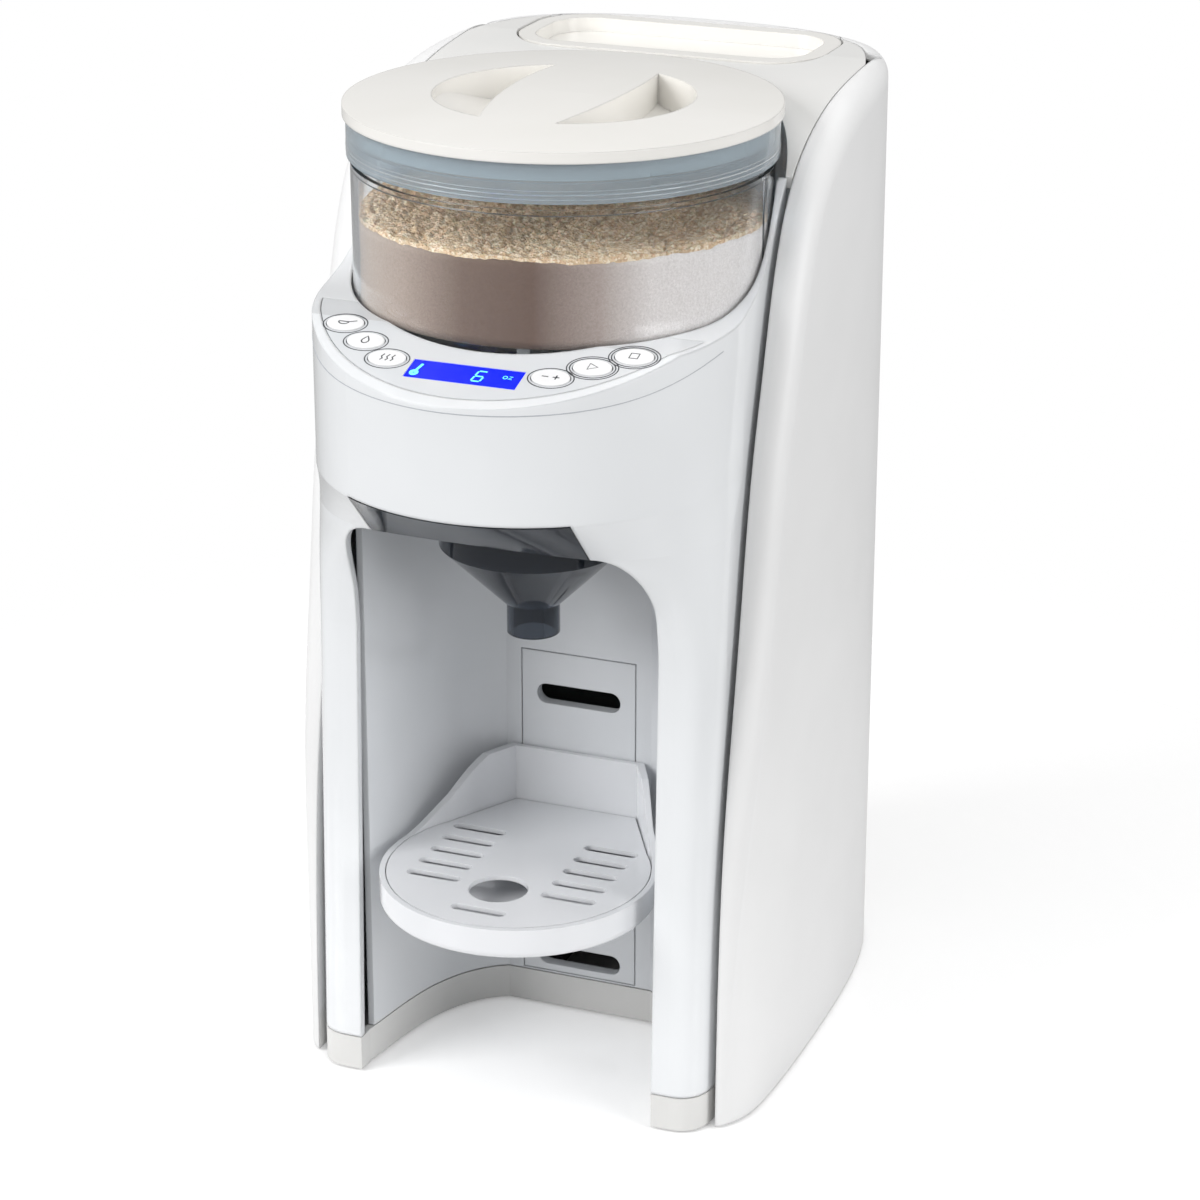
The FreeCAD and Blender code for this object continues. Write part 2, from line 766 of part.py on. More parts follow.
def make_top_frame():
    """Rear top: a thin skin that follows the side profile, round the powder recess and the tank."""
    inner = housing_half_width + groove - fit_gap
    skin = profile_block(0, inner).cut(profile_block(wall, inner + 5))
    skin = skin.common(box(-inner, housing_rear_y + fit_gap, 250, inner, rear_strip_y - fit_gap, 500))
    plan = prism(body_plan(top_rim + fit_gap, 0), 500)
    skin = skin.common(plan)
    skin = skin.cut(powder_cylinder(recess_radius, 200, 500))
    skin = skin.cut(tank_well(fit_gap, 200, 500))
    low = container_floor_z
    rim_wall = powder_cylinder(recess_radius + wall, low, 500).cut(powder_cylinder(recess_radius, 200, 501))
    rim_wall = rim_wall.common(profile_block(wall - 0.5, inner)).common(plan)
    rim_wall = rim_wall.common(box(-inner, rim_front_y, low, inner, 200, 500))
    return skin.fuse(rim_wall).removeSplitter()


def make_chassis():
    """Moulded inner frame: powder deck, middle wall and tank shelf on two side ribs."""
    deck_top = container_floor_z - seat_gap
    deck = powder_cylinder(front_recess_radius - fit_gap, deck_top - wall, deck_top)
    deck = deck.common(housing_block(housing_wall + fit_gap, 150, 360)
                       .fuse(box(-78, housing_rear_y, 200, 78, 70, 400)))
    deck = deck.cut(powder_cylinder(container_foot_radius + fit_gap, 200, 300))
    deck = deck.cut(cylinder(0, powder_axis_y - pocket_ring_radius, 200, 300, pocket_radius + 1))
    inner = housing_half_width - housing_wall - 0.5
    middle = box(-inner, tank_front_y - 3.5 - wall, floor_top, inner, tank_front_y - 3.5, 340)
    middle = middle.cut(powder_cylinder(recess_radius + wall + fit_gap, deck_top, 400))
    hole = Part.makeCylinder(tube_radius + 1, 10, V(pump_x, tank_front_y - 10, suction_z), V(0, 1, 0))
    middle = middle.cut(hole)
    shelf = box(-inner, tank_front_y - 4, shelf_z - wall, inner, 118, shelf_z)
    shelf = shelf.common(prism(body_plan(wall + 4.0, 0), 400))
    shelf = shelf.cut(cylinder(tank_valve_x, tank_valve_y, 50, 150, seat_radius + fit_gap))
    frame = middle.fuse(shelf)
    for side in (-1, 1):
        x = side * (inner - 6)
        rib = box(x - 1.5, -56, floor_top, x + 1.5, 96, deck_top - wall)
        rib = rib.cut(box(-200, tank_front_y - 3, shelf_z, 200, 200, 500))
        frame = frame.fuse(rib)
    bridge = box(-inner, 30, deck_top - wall, inner, tank_front_y - 4, deck_top)
    frame = frame.fuse(deck).fuse(bridge)
    for x, y in base_screw_places:
        frame = frame.fuse(cylinder(x, y, floor_top, floor_top + screw_length, screw_boss_radius))
    for x, y in base_screw_places:
        frame = frame.cut(cylinder(x, y, 0, floor_top + screw_length - 1, screw_radius + screw_gap))
    return frame.removeSplitter()


def make_control_panel():
    """Key plate: a crescent sheet with key holes, the display opening and stand-offs for its board."""
    plate = panel_sheet(panel_margin + panel_inset, 0, panel_thickness, panel_end_y - panel_inset)
    for x, y in button_places:
        plate = plate.cut(on_panel(oval(button_half_width + button_clearance,
                                        button_half_depth + button_clearance, 20), x, y, -10))
    window = box(-display_width / 2 - seat_gap, -display_depth / 2 - seat_gap, -10,
                 display_width / 2 + seat_gap, display_depth / 2 + seat_gap, 10)
    plate = plate.cut(on_panel(window, 0, display_y, 0))
    for x, y in standoff_places:
        length = board_gap - seat_gap
        post = Part.makeCylinder(1.5, length - 1, V(0, 0, -length))
        plate = plate.fuse(on_panel(post, x, y, 0))
    return plate.removeSplitter()


def oval(half_width, half_depth, height):
    """A flat-topped oval block at the origin."""
    ellipse = Part.Ellipse(V(0, 0, 0), half_width, half_depth)
    return Part.Face(Part.Wire([ellipse.toShape()])).extrude(V(0, 0, height))


def make_button(index):
    """One key with a soft top edge, and the stem under it that reaches for the board."""
    x, y = button_places[index]
    cap = oval(button_half_width, button_half_depth, button_height + button_proud)
    top = [edge for edge in cap.Edges if edge.BoundBox.ZMin > button_height]
    cap = cap.makeFillet(button_round, top)
    stem = Part.makeCylinder(1.4, button_stem_length, V(0, 0, -button_stem_length))
    return on_panel(cap.fuse(stem).removeSplitter(), x, y, -button_height)


def make_button_board():
    """Crescent circuit board under the keys."""
    outline = crescent(panel_margin + 4.5, board_end_y)
    return outline.common(below_panel(board_gap)).cut(below_panel(board_gap + board_thickness))


def make_display_window():
    """Clear pane of the display, just under the plate."""
    pane = box(-display_width / 2, -display_depth / 2, -display_window_thickness,
               display_width / 2, display_depth / 2, 0)
    return on_panel(pane, 0, display_y, -0.2)


def make_display_module():
    """Display block between the pane and the board."""
    depth = board_gap - display_window_thickness - 0.3
    block = box(-display_width / 2 + 0.5, -display_depth / 2 + 0.5, -depth,
                display_width / 2 - 0.5, display_depth / 2 - 0.5, -0.1)
    return on_panel(block, 0, display_y, -0.2 - display_window_thickness)


def make_powder_container():
    """Clear bowl with a round lower edge, a shoulder, a neck, a shaft bearing and one outlet hole."""
    foot = 5.0
    outer = powder_cylinder(container_radius, container_floor_z, container_shoulder_z)
    low_edges = [edge for edge in outer.Edges if abs(edge.CenterOfMass.z - container_floor_z) < 0.01]
    outer = outer.makeFillet(foot, low_edges)
    inner = powder_cylinder(container_radius - container_wall, container_floor_z + container_wall,
                            container_shoulder_z - container_wall)
    in_edges = [edge for edge in inner.Edges
                if abs(edge.CenterOfMass.z - container_floor_z - container_wall) < 0.01]
    inner = inner.makeFillet(foot - container_wall, in_edges)
    neck = powder_cylinder(neck_radius, container_shoulder_z - 0.5, container_rim_z)
    bowl = outer.cut(inner).fuse(neck)
    neck_bore = powder_cylinder(neck_radius - container_wall, container_shoulder_z - 6, container_rim_z + 1)
    bowl = bowl.cut(neck_bore)
    hub = powder_cylinder(container_foot_radius, container_floor_z - 4.5, container_floor_z + container_wall)
    bowl = bowl.fuse(hub)
    bowl = bowl.cut(powder_cylinder(shaft_radius + shaft_clearance, 200, 400))
    bowl = bowl.cut(cylinder(0, powder_axis_y - pocket_ring_radius, 200, 300, pocket_radius))
    return bowl.removeSplitter()


def make_portion_wheel():
    """Wheel whose round pockets carry powder over the outlet."""
    z0 = container_floor_z + container_wall + fit_gap
    wheel = powder_cylinder(wheel_radius, z0, z0 + wheel_height)
    wheel = wheel.cut(powder_cylinder(shaft_radius + shaft_clearance, 200, 400))
    for index in range(wheel_pockets):
        angle = 2 * math.pi * index / wheel_pockets - math.pi / 2
        x = pocket_ring_radius * math.cos(angle)
        y = powder_axis_y + pocket_ring_radius * math.sin(angle)
        wheel = wheel.cut(cylinder(x, y, z0 - 1, z0 + wheel_height + 1, pocket_radius))
    return wheel


def make_rotor_shaft():
    """Shaft of the wheel and the stirrer, with a square foot for the drive socket."""
    z0 = container_floor_z - 5.0
    z1 = container_floor_z + container_wall + fit_gap + wheel_height + stirrer_arm_height + 3
    half = shaft_square / 2
    square = box(-half, powder_axis_y - half, shaft_foot_z, half, powder_axis_y + half, z0 + 1)
    return powder_cylinder(shaft_radius, z0, z1).fuse(square)


def make_stirrer():
    """Three-armed stirrer above the portion wheel, each arm with an upright tip."""
    z0 = container_floor_z + container_wall + fit_gap + wheel_height + seat_gap
    hub = powder_cylinder(10, z0, z0 + stirrer_arm_height + 2)
    arms = []
    half = stirrer_arm_width / 2
    for index in range(stirrer_arms):
        arm = box(0, -half, z0, stirrer_reach, half, z0 + stirrer_arm_height)
        tip = box(stirrer_reach - stirrer_tip_length, -half, z0, stirrer_reach, half, z0 + stirrer_tip_height)
        arm = arm.fuse(tip)
        arm.rotate(V(0, 0, 0), V(0, 0, 1), 360.0 / stirrer_arms * index + stirrer_turn)
        arm.translate(V(0, powder_axis_y, 0))
        arms.append(arm)
    return fuse([hub] + arms).cut(powder_cylinder(shaft_radius + shaft_clearance, 200, 400))


def make_powder_fill():
    """The powder held above the stirrer, dished on top."""
    z0 = container_floor_z + container_wall + fit_gap + wheel_height + 18
    radius = container_radius - container_wall - fit_gap
    fill = powder_cylinder(radius, z0, powder_level_z)
    rise = 2.0 * powder_dip
    sphere_radius = (radius * radius + rise * rise) / (2 * rise)
    dish = Part.makeSphere(sphere_radius, V(0, powder_axis_y, powder_level_z - powder_dip + sphere_radius))
    return fill.cut(dish)


def make_lid_collar():
    """Ring between container and lid, with a bayonet slot at the front right."""
    z1 = lid_top_z - lid_dome - lid_rim_height - 0.3
    z0 = z1 - collar_height
    outer = lid_radius - 1.2
    ring = powder_cylinder(outer, z0, z1)
    ring = ring.cut(powder_cylinder(neck_radius + fit_gap, z0 - 1, container_rim_z + seat_gap))
    ring = ring.cut(powder_cylinder(neck_radius - collar_step, container_rim_z - 1, z1 + 1))
    face = powder_axis_y - outer
    run = box(-2, face - 2, z1 - bayonet_drop, bayonet_end, face + bayonet_depth, z1 - bayonet_drop / 2)
    entry = box(bayonet_end - 4, face - 2, z1 - bayonet_drop, bayonet_end, face + bayonet_depth, z1 + 1)
    slot = run.fuse(entry)
    slot.rotate(V(0, powder_axis_y, 0), V(0, 0, 1), bayonet_turn)
    return ring.cut(slot).removeSplitter()


def scoop(side):
    """One finger scoop: a lens on plan, steep against the bar and shallow outside."""
    length = scoop_length
    inner = Part.Arc(V(0, -length / 2, 0), V(4.0, 0, 0), V(0, length / 2, 0)).toShape()
    outer = Part.Arc(V(0, length / 2, 0), V(scoop_width, 0, 0), V(0, -length / 2, 0)).toShape()
    lens = Part.Face(Part.Wire([inner, outer])).extrude(V(0, 0, 40))
    bowl = Part.makeCylinder(scoop_bowl_radius, length + 20, V(scoop_width * 0.34, -length / 2 - 10,
                             scoop_bowl_radius - scoop_depth), V(0, 1, 0))
    lens.translate(V(0, 0, -scoop_depth))
    cut = lens.common(bowl)
    cut.rotate(V(0, 0, 0), V(0, 0, 1), -4)
    cut.translate(V(bar_half_width, powder_axis_y, lid_top_z + 1.0))
    if side < 0:
        cut = cut.mirror(V(0, 0, 0), V(1, 0, 0))
    return cut


def make_powder_lid():
    """Domed lid with a skirt that plugs the collar and two finger scoops beside a bar."""
    z1 = lid_top_z
    z0 = z1 - lid_dome - lid_rim_height
    rise = lid_dome
    sphere_radius = (lid_radius ** 2 + rise ** 2) / (2 * rise)
    dome = Part.makeSphere(sphere_radius, V(0, powder_axis_y, z1 - sphere_radius))
    disc = powder_cylinder(lid_radius, z0, z1 + 5).common(dome)
    under = powder_cylinder(lid_radius - lid_wall, z0 - 1, z1 - lid_dome - lid_wall)
    lid = disc.cut(under)
    skirt_radius = neck_radius - collar_step - fit_gap
    skirt = powder_cylinder(skirt_radius, z0 - lid_skirt_depth, z1 - lid_dome - lid_wall + 0.5)
    skirt = skirt.cut(powder_cylinder(skirt_radius - lid_wall, z0 - lid_skirt_depth - 1, z1))
    lid = lid.fuse(skirt)
    cup_floor = powder_cylinder(skirt_radius - 0.5, z1 - scoop_depth - lid_wall - 1, z1 - lid_dome)
    for side in (-1, 1):
        cut = scoop(side)
        shell = cut.makeOffsetShape(lid_wall, 0.01)
        if isinstance(shell, Part.Shell):
            shell = Part.Solid(shell)
        lid = lid.fuse(shell.common(cup_floor))
    for side in (-1, 1):
        lid = lid.cut(scoop(side))
    return lid.removeSplitter()


def make_gear(teeth, bore, z0, z1, x, y, phase):
    """A spur gear with flat-sided teeth at its pitch circle."""
    pitch = gear_module * teeth / 2
    root = pitch - 1.2 * gear_module
    tip = pitch + 0.9 * gear_module
    gear = cylinder(0, 0, z0, z1, root)
    half_root = 0.33 * math.pi * gear_module
    half_tip = 0.10 * math.pi * gear_module
    profile = [V(root - 0.3, -half_root, z0), V(tip, -half_tip, z0), V(tip, half_tip, z0),
               V(root - 0.3, half_root, z0), V(root - 0.3, -half_root, z0)]
    tooth = Part.Face(Part.makePolygon(profile)).extrude(V(0, 0, z1 - z0))
    teeth_all = []
    for index in range(teeth):
        copy = tooth.copy()
        copy.rotate(V(0, 0, 0), V(0, 0, 1), 360.0 * index / teeth + phase)
        teeth_all.append(copy)
    gear = gear.multiFuse(teeth_all).removeSplitter()
    gear = gear.cut(cylinder(0, 0, z0 - 1, z1 + 1, bore))
    gear.translate(V(x, y, 0))
    return gear


def make_drive_gear():
    """Gear under the powder deck, with a square socket on top that turns the rotor shaft."""
    gear = make_gear(gear_teeth, 0.5, gear_z0, gear_z1, 0, powder_axis_y, idler_angle)
    boss = powder_cylinder(shaft_radius + 3, gear_z1 - 0.2, shaft_foot_z + socket_depth)
    stub = powder_cylinder(gear_pin_radius, bracket_low, gear_z0 + 0.5)
    gear = gear.fuse(powder_cylinder(2, gear_z0, gear_z1)).fuse(boss).fuse(stub)
    half = shaft_square / 2 + fit_gap
    socket = box(-half, powder_axis_y - half, shaft_foot_z - fit_gap, half, powder_axis_y + half, 300)
    return gear.cut(socket).removeSplitter()


def make_idler_gear():
    """Middle gear on its own pin in the bracket."""
    gear = make_gear(idler_teeth, 0.5, gear_z0, gear_z1, idler_x, idler_y, idler_phase)
    stub = cylinder(idler_x, idler_y, bracket_low, gear_z0 + 1, gear_pin_radius)
    return gear.fuse(cylinder(idler_x, idler_y, gear_z0, gear_z1, 2)).fuse(stub).removeSplitter()


def make_motor_pinion():
    """Small gear pressed on the motor shaft."""
    bore = motor_shaft_radius + shaft_clearance
    return make_gear(pinion_teeth, bore, gear_z0, gear_z1, pinion_x, pinion_y, pinion_phase)


def make_motor_shaft():
    """The motor's shaft up to the top of the pinion."""
    return cylinder(pinion_x, pinion_y, bracket_low - 6, gear_z1 + 1, motor_shaft_radius)


def make_powder_motor():
    """Motor can that hangs under the bracket."""
    top = bracket_low - seat_gap
    can = cylinder(pinion_x, pinion_y, top - motor_length, top, motor_radius)
    bore_radius = motor_shaft_radius + shaft_clearance
    bore = cylinder(pinion_x, pinion_y, bracket_low - 8, bracket_low + 1, bore_radius)
    return can.cut(bore)


def make_drive_bracket():
    """Plate under the powder deck that carries the motor and the gears' bearings."""
    plate = box(-34, -56, bracket_low, 34, 38, bracket_top)
    mouth = chute_y_at((bracket_low + bracket_top) / 2)
    plate = plate.cut(cylinder(0, mouth, bracket_low - 1, bracket_top + 1, chute_low_radius + 1.5))
    plate = plate.cut(powder_cylinder(gear_pin_radius + shaft_clearance, bracket_low - 1, bracket_top + 1))
    plate = plate.cut(cylinder(idler_x, idler_y, bracket_low - 1, bracket_top + 1,
                               gear_pin_radius + shaft_clearance))
    plate = plate.cut(cylinder(pinion_x, pinion_y, bracket_low - 1, bracket_top + 1, motor_shaft_radius + 1))
    for x, y in bracket_post_places:
        plate = plate.fuse(cylinder(x, y, bracket_top - 0.5, deck_low - seat_gap, 3.5))
    return plate.removeSplitter()


def chute_y_at(z):
    share = (z - chute_low_z) / (chute_top_z - chute_low_z)
    return funnel_axis_y + share * (chute_top_y - funnel_axis_y)


def make_powder_chute():
    """Short throat that guides powder from the container's outlet down into the funnel."""
    skins = []
    for shrink in (0.0, chute_wall):
        lower = Part.Wire([Part.makeCircle(chute_low_radius - shrink, V(0, funnel_axis_y, chute_low_z))])
        upper = Part.Wire([Part.makeCircle(chute_top_radius - shrink, V(0, chute_top_y, chute_top_z))])
        skins.append(Part.makeLoft([lower, upper], True, True))
    flange_z = liner_top_z + seat_gap
    flange = cylinder(0, funnel_axis_y, flange_z, flange_z + 1.8, chute_low_radius + 3.5)
    return skins[0].fuse(flange).cut(skins[1]).removeSplitter()


def make_funnel():
    """Bowl, cone and tube hanging from a flange whose front edge turns up into the visor."""
    plate_top = arch_edge_z + flange_thickness
    tip_in = funnel_tip_radius - funnel_wall
    bowl_in = funnel_cone_radius - funnel_wall
    neck = funnel_tip_radius + 1.5
    outer = [cone(0, funnel_axis_y, funnel_neck_z, funnel_bowl_z, neck, funnel_cone_radius),
             cylinder(0, funnel_axis_y, funnel_bowl_z, plate_top, funnel_cone_radius),
             cylinder(0, funnel_axis_y, funnel_tip_z, funnel_neck_z + 1, funnel_tip_radius)]
    inner = [cone(0, funnel_axis_y, funnel_neck_z, funnel_bowl_z, tip_in, bowl_in),
             cylinder(0, funnel_axis_y, funnel_bowl_z, plate_top + 1, bowl_in),
             cylinder(0, funnel_axis_y, funnel_tip_z - 1, funnel_neck_z + 0.1, tip_in)]
    back = funnel_axis_y + funnel_cone_radius + 3
    plate = box(-flange_half_width, -90, arch_edge_z, flange_half_width, back, plate_top)
    plate = plate.common(bay_prism(-fit_gap, arch_edge_z - 1, plate_top + 1))
    whole = housing_block(0, 150, 300)
    tongue = box(-flange_half_width, -160, arch_edge_z, flange_half_width, -89, plate_top).common(whole)
    visor = box(-visor_half_width, -160, arch_edge_z, visor_half_width, -80, head_low_z).common(whole)
    visor = visor.cut(housing_block(visor_wall, 149, 301))
    body = plate.fuse(tongue).fuse(visor)
    for piece in outer:
        body = body.fuse(piece)
    for piece in inner:
        body = body.cut(piece)
    return body


def tray_plan(inset, z0, z1):
    """Tray outline: a round front whose sides run straight back to the rear plate."""
    radius = tray_radius - inset
    front = cylinder(0, tray_axis_y, z0, z1, radius)
    back = tray_back_y - inset
    rear = [V(radius, tray_axis_y, z0), V(radius * 0.93, tray_axis_y + 18, z0),
            V(tray_rear_half - inset, back, z0), V(-tray_rear_half + inset, back, z0),
            V(-radius * 0.93, tray_axis_y + 18, z0), V(-radius, tray_axis_y, z0), V(radius, tray_axis_y, z0)]
    tail = Part.Face(Part.makePolygon(rear)).extrude(V(0, 0, z1 - z0))
    return front.fuse(tail).removeSplitter()


def tray_side_cut():
    """What the tray's side walls lose, so that they sweep up from the round front to the rear plate."""
    far = -200.0
    foot_y = tray_axis_y + 8
    rear_y = tray_axis_y + 64
    front_y = tray_axis_y - 60
    peak = tray_top_z + tray_back_rise
    top = peak + 30
    sweep = spline([(far, foot_y, tray_top_z), (far, tray_axis_y + 26, tray_top_z + 7),
                    (far, tray_axis_y + 42, peak - 2), (far, rear_y, peak)])
    outline = [sweep, line((far, rear_y, peak), (far, rear_y, top)),
               line((far, rear_y, top), (far, front_y, top)),
               line((far, front_y, top), (far, front_y, tray_top_z)),
               line((far, front_y, tray_top_z), (far, foot_y, tray_top_z))]
    return Part.Face(Part.Wire(outline)).extrude(V(-2 * far, 0, 0))


def make_drip_tray():
    """Tray with a rounded lower edge, a ledge for its cover and a hook that hangs in a wall slot."""
    low = tray_top_z - tray_height
    peak = tray_top_z + tray_back_rise
    tray = tray_plan(0, low, peak)
    low_edges = [edge for edge in tray.Edges if edge.BoundBox.ZMax < low + 0.01
                 and edge.BoundBox.YMin < tray_back_y - 1]
    tray = tray.makeFillet(tray_edge_round, low_edges)
    shell = tray.cut(tray_plan(tray_wall, low + tray_wall, peak + 1)).cut(tray_side_cut())
    hook_z = tray_heights[1]
    hook_end = bay_back_y + hook_depth
    hook = box(-hook_half_width, tray_back_y - 1, hook_z, hook_half_width, hook_end, hook_z + hook_height)
    lip = box(-hook_half_width, hook_end - 1.6, hook_z - 0.6, hook_half_width, hook_end, hook_z + hook_height)
    cover_low = tray_top_z - tray_cover_thickness
    ledge = tray_plan(tray_wall - 0.2, cover_low - 2.0, cover_low - seat_gap)
    ledge = ledge.cut(tray_plan(tray_wall + tray_ledge_width, low, tray_top_z))
    return fuse([shell, hook, lip, ledge])


def make_tray_cover():
    """Loose plate with a round drain hole and rows of round-ended slots."""
    z0 = tray_top_z - tray_cover_thickness
    cover = tray_plan(tray_wall + 0.35, z0, tray_top_z)
    cover = cover.cut(cylinder(0, tray_hole_y, z0 - 1, tray_top_z + 1, tray_hole_radius))
    for x, y in tray_slot_places:
        half = tray_slot_length / 2 - tray_slot_width / 2
        radius = tray_slot_width / 2
        slot = box(x - half, y - radius, z0 - 1, x + half, y + radius, tray_top_z + 1)
        for end in (x - half, x + half):
            slot = slot.fuse(cylinder(end, y, z0 - 1, tray_top_z + 1, radius))
        cover = cover.cut(slot)
    return cover


def make_water_tank():
    """Open tank with rounded corners and a valve boss under its floor."""
    outer = tank_well(0, tank_floor_z, tank_rim_z)
    inner = tank_well(-tank_wall, tank_floor_z + tank_wall, tank_rim_z + 1)
    tank = outer.cut(inner)
    boss = cylinder(tank_valve_x, tank_valve_y, tank_floor_z - 3, tank_floor_z + 9, valve_radius + 3)
    tank = tank.fuse(boss)
    tank = tank.cut(cylinder(tank_valve_x, tank_valve_y, 50, 200, valve_radius))
    return tank.removeSplitter()


def make_tank_valve():
    """Spring valve that the seat pushes open when the tank stands on the shelf."""
    stem = cylinder(tank_valve_x, tank_valve_y, tank_floor_z - 2.5, tank_floor_z + 7, valve_radius - 0.08)
    stem = stem.cut(cylinder(tank_valve_x, tank_valve_y, 50, tank_floor_z + 5, valve_radius - 2))
    head = cylinder(tank_valve_x, tank_valve_y, tank_floor_z + 9 + 0.3, tank_floor_z + 12, valve_radius + 2)
    neck = cylinder(tank_valve_x, tank_valve_y, tank_floor_z + 6, tank_floor_z + 10, valve_radius - 1.5)
    return fuse([stem, neck, head])


def make_tank_seat():
    """Rubber-faced ring in the shelf that takes the tank's valve boss and feeds the hose."""
    ring = cylinder(tank_valve_x, tank_valve_y, shelf_z - 14, shelf_z + 0.9, seat_radius)
    ring = ring.cut(cylinder(tank_valve_x, tank_valve_y, shelf_z - 2, shelf_z + 10, valve_radius + 3.4))
    ring = ring.cut(cylinder(tank_valve_x, tank_valve_y, 40, 200, tube_radius))
    flange = cylinder(tank_valve_x, tank_valve_y, shelf_z - wall - 3, shelf_z - wall - 0.2, seat_radius + 4)
    flange = flange.cut(cylinder(tank_valve_x, tank_valve_y, 40, 200, tube_radius))
    return ring.fuse(flange).removeSplitter()


def make_tank_pads():
    """Rubber pads on the shelf that the tank stands on."""
    pads = []
    for x in (-pad_x, pad_x):
        for y in pad_depths:
            pads.append(cylinder(x, y, shelf_z, tank_floor_z - seat_gap, pad_radius))
    return Part.makeCompound(pads)


def make_tank_lid():
    """Dished lid that closes the tank and makes the rear half of the top."""
    top = body_top_z - fit_gap
    dish_z = top - tank_lid_dish
    plan = tank_well(-fit_gap, tank_rim_z + fit_gap, top)
    lid = plan.cut(tank_well(-tank_lid_rim, dish_z, body_top_z + 1))
    under = tank_well(-5.0, tank_rim_z - 1, dish_z - lid_wall)
    lid = lid.cut(under)
    return lid.removeSplitter()


def pipe(points, radius):
    """A hose along straight runs joined by tangent arcs, each as large as its runs allow."""
    edges = []
    start = points[0]
    for index in range(1, len(points) - 1):
        before = (points[index - 1] - points[index]).normalize()
        after = (points[index + 1] - points[index]).normalize()
        turn = math.pi - before.getAngle(after)
        shorter = min(points[index].distanceToPoint(points[index - 1]),
                      points[index].distanceToPoint(points[index + 1]))
        reach = min(0.45 * shorter, 14.0)
        bend = reach / math.tan(turn / 2)
        entry = points[index] + before * reach
        leave = points[index] + after * reach
        middle = (before + after).normalize()
        centre_gap = math.hypot(bend, reach)
        peak = points[index] + middle * (centre_gap - bend)
        edges.append(Part.LineSegment(start, entry).toShape())
        edges.append(Part.Arc(entry, peak, leave).toShape())
        start = leave
    edges.append(Part.LineSegment(start, points[-1]).toShape())
    path = Part.Wire(edges)
    direction = (points[1] - points[0]).normalize()
    ring = Part.Wire([Part.makeCircle(radius, points[0], direction)])
    return path.makePipeShell([ring], True, False)


def make_pump():
    """Pump body and head on a block on the floor."""
    body = cylinder(pump_x, pump_y, floor_top + pump_mount, floor_top + pump_mount + pump_height, pump_radius)
    head = cylinder(pump_x, pump_y, floor_top + pump_mount + pump_height,
                    floor_top + pump_mount + pump_height + 12, pump_radius - 3)
    stand = box(pump_x - 12, pump_y - 12, floor_top, pump_x + 12, pump_y + 12, floor_top + pump_mount)
    return fuse([body, head, stand])


def make_heater():
    """Finned heater block on its foot."""
    half = heater_half
    foot = heater_half - 5
    core = heater_half - heater_fin_depth
    body = rounded_rectangle(heater_x - half, heater_y - half, heater_x + half, heater_y + half, 5,
                             heater_low, heater_high)
    legs = box(heater_x - foot, heater_y - foot, floor_top, heater_x + foot, heater_y + foot, heater_low)
    for index in range(heater_fins):
        z = heater_low + 12 + index * heater_fin_pitch
        ring = box(heater_x - 20, heater_y - 20, z, heater_x + 20, heater_y + 20, z + heater_fin_gap)
        keep = box(heater_x - core, heater_y - core, z - 1,
                   heater_x + core, heater_y + core, z + heater_fin_gap + 1)
        body = body.cut(ring.cut(keep))
    return body.fuse(legs).removeSplitter()


def make_suction_tube():
    """Hose from the tank seat down and over to the pump."""
    z = shelf_z - 14 - seat_gap
    points = [V(tank_valve_x, tank_valve_y, z), V(tank_valve_x, tank_valve_y, suction_z),
              V(pump_x, tank_valve_y, suction_z), V(pump_x, pump_y, suction_z),
              V(pump_x, pump_y, pump_top + seat_gap)]
    return pipe(points, tube_radius)


def make_pressure_tube():
    """Hose from the pump up to the heater."""
    low = floor_top + pump_mount + 18.0
    high = heater_low + 20.0
    middle = (pump_x + pump_radius + heater_x - heater_half) / 2
    points = [V(pump_x + pump_radius + seat_gap, pump_y, low), V(middle, pump_y, low),
              V(middle, pump_y, high), V(heater_x - heater_half - seat_gap, pump_y, high)]
    return pipe(points, tube_radius)


def make_control_board():
    """Upright control board at the rear."""
    return box(control_board_x0, control_board_y, control_board_low,
               control_board_x1, control_board_y + board_thickness, control_board_high)


def make_board_posts():
    """Two posts on the floor that hold the control board."""
    posts = []
    for x in (control_board_x0 + 4, control_board_x1 - 4):
        posts.append(box(x - 3, control_board_y - 4, floor_top,
                         x + 3, control_board_y - seat_gap, control_board_low + 4))
    return Part.makeCompound(posts)


def make_nozzle():
    """Elbow fitting in the bay ceiling that sends hot water down into the funnel."""
    low = liner_top_z - bay_wall - 0.8
    body = cylinder(nozzle_x, nozzle_y, low, nozzle_axis_z + nozzle_radius, nozzle_radius)
    ring_z = liner_top_z + seat_gap
    ring = cylinder(nozzle_x, nozzle_y, ring_z, ring_z + 2, nozzle_radius + 3)
    stub = Part.makeCylinder(nozzle_radius, nozzle_stub, V(nozzle_x, nozzle_y, nozzle_axis_z), V(0, 1, 0))
    bore = cylinder(nozzle_x, nozzle_y, low - 1, nozzle_axis_z, nozzle_radius - nozzle_wall)
    turn = V(nozzle_x, nozzle_y, nozzle_axis_z)
    cross = Part.makeCylinder(nozzle_radius - nozzle_wall, nozzle_stub + 1, turn, V(0, 1, 0))
    return fuse([body, ring, stub]).cut(bore).cut(cross).removeSplitter()


def make_hot_tube():
    """Hose from the heater up and forward to the nozzle."""
    points = [V(heater_x, heater_y, heater_high + seat_gap), V(heater_x, heater_y, nozzle_axis_z),
              V(nozzle_x, nozzle_y + nozzle_stub + seat_gap, nozzle_axis_z)]
    return pipe(points, tube_radius)


def export(name, shape):
    """Writes one piece as a STEP file."""
    shape.exportStep("parts/" + name + ".step")


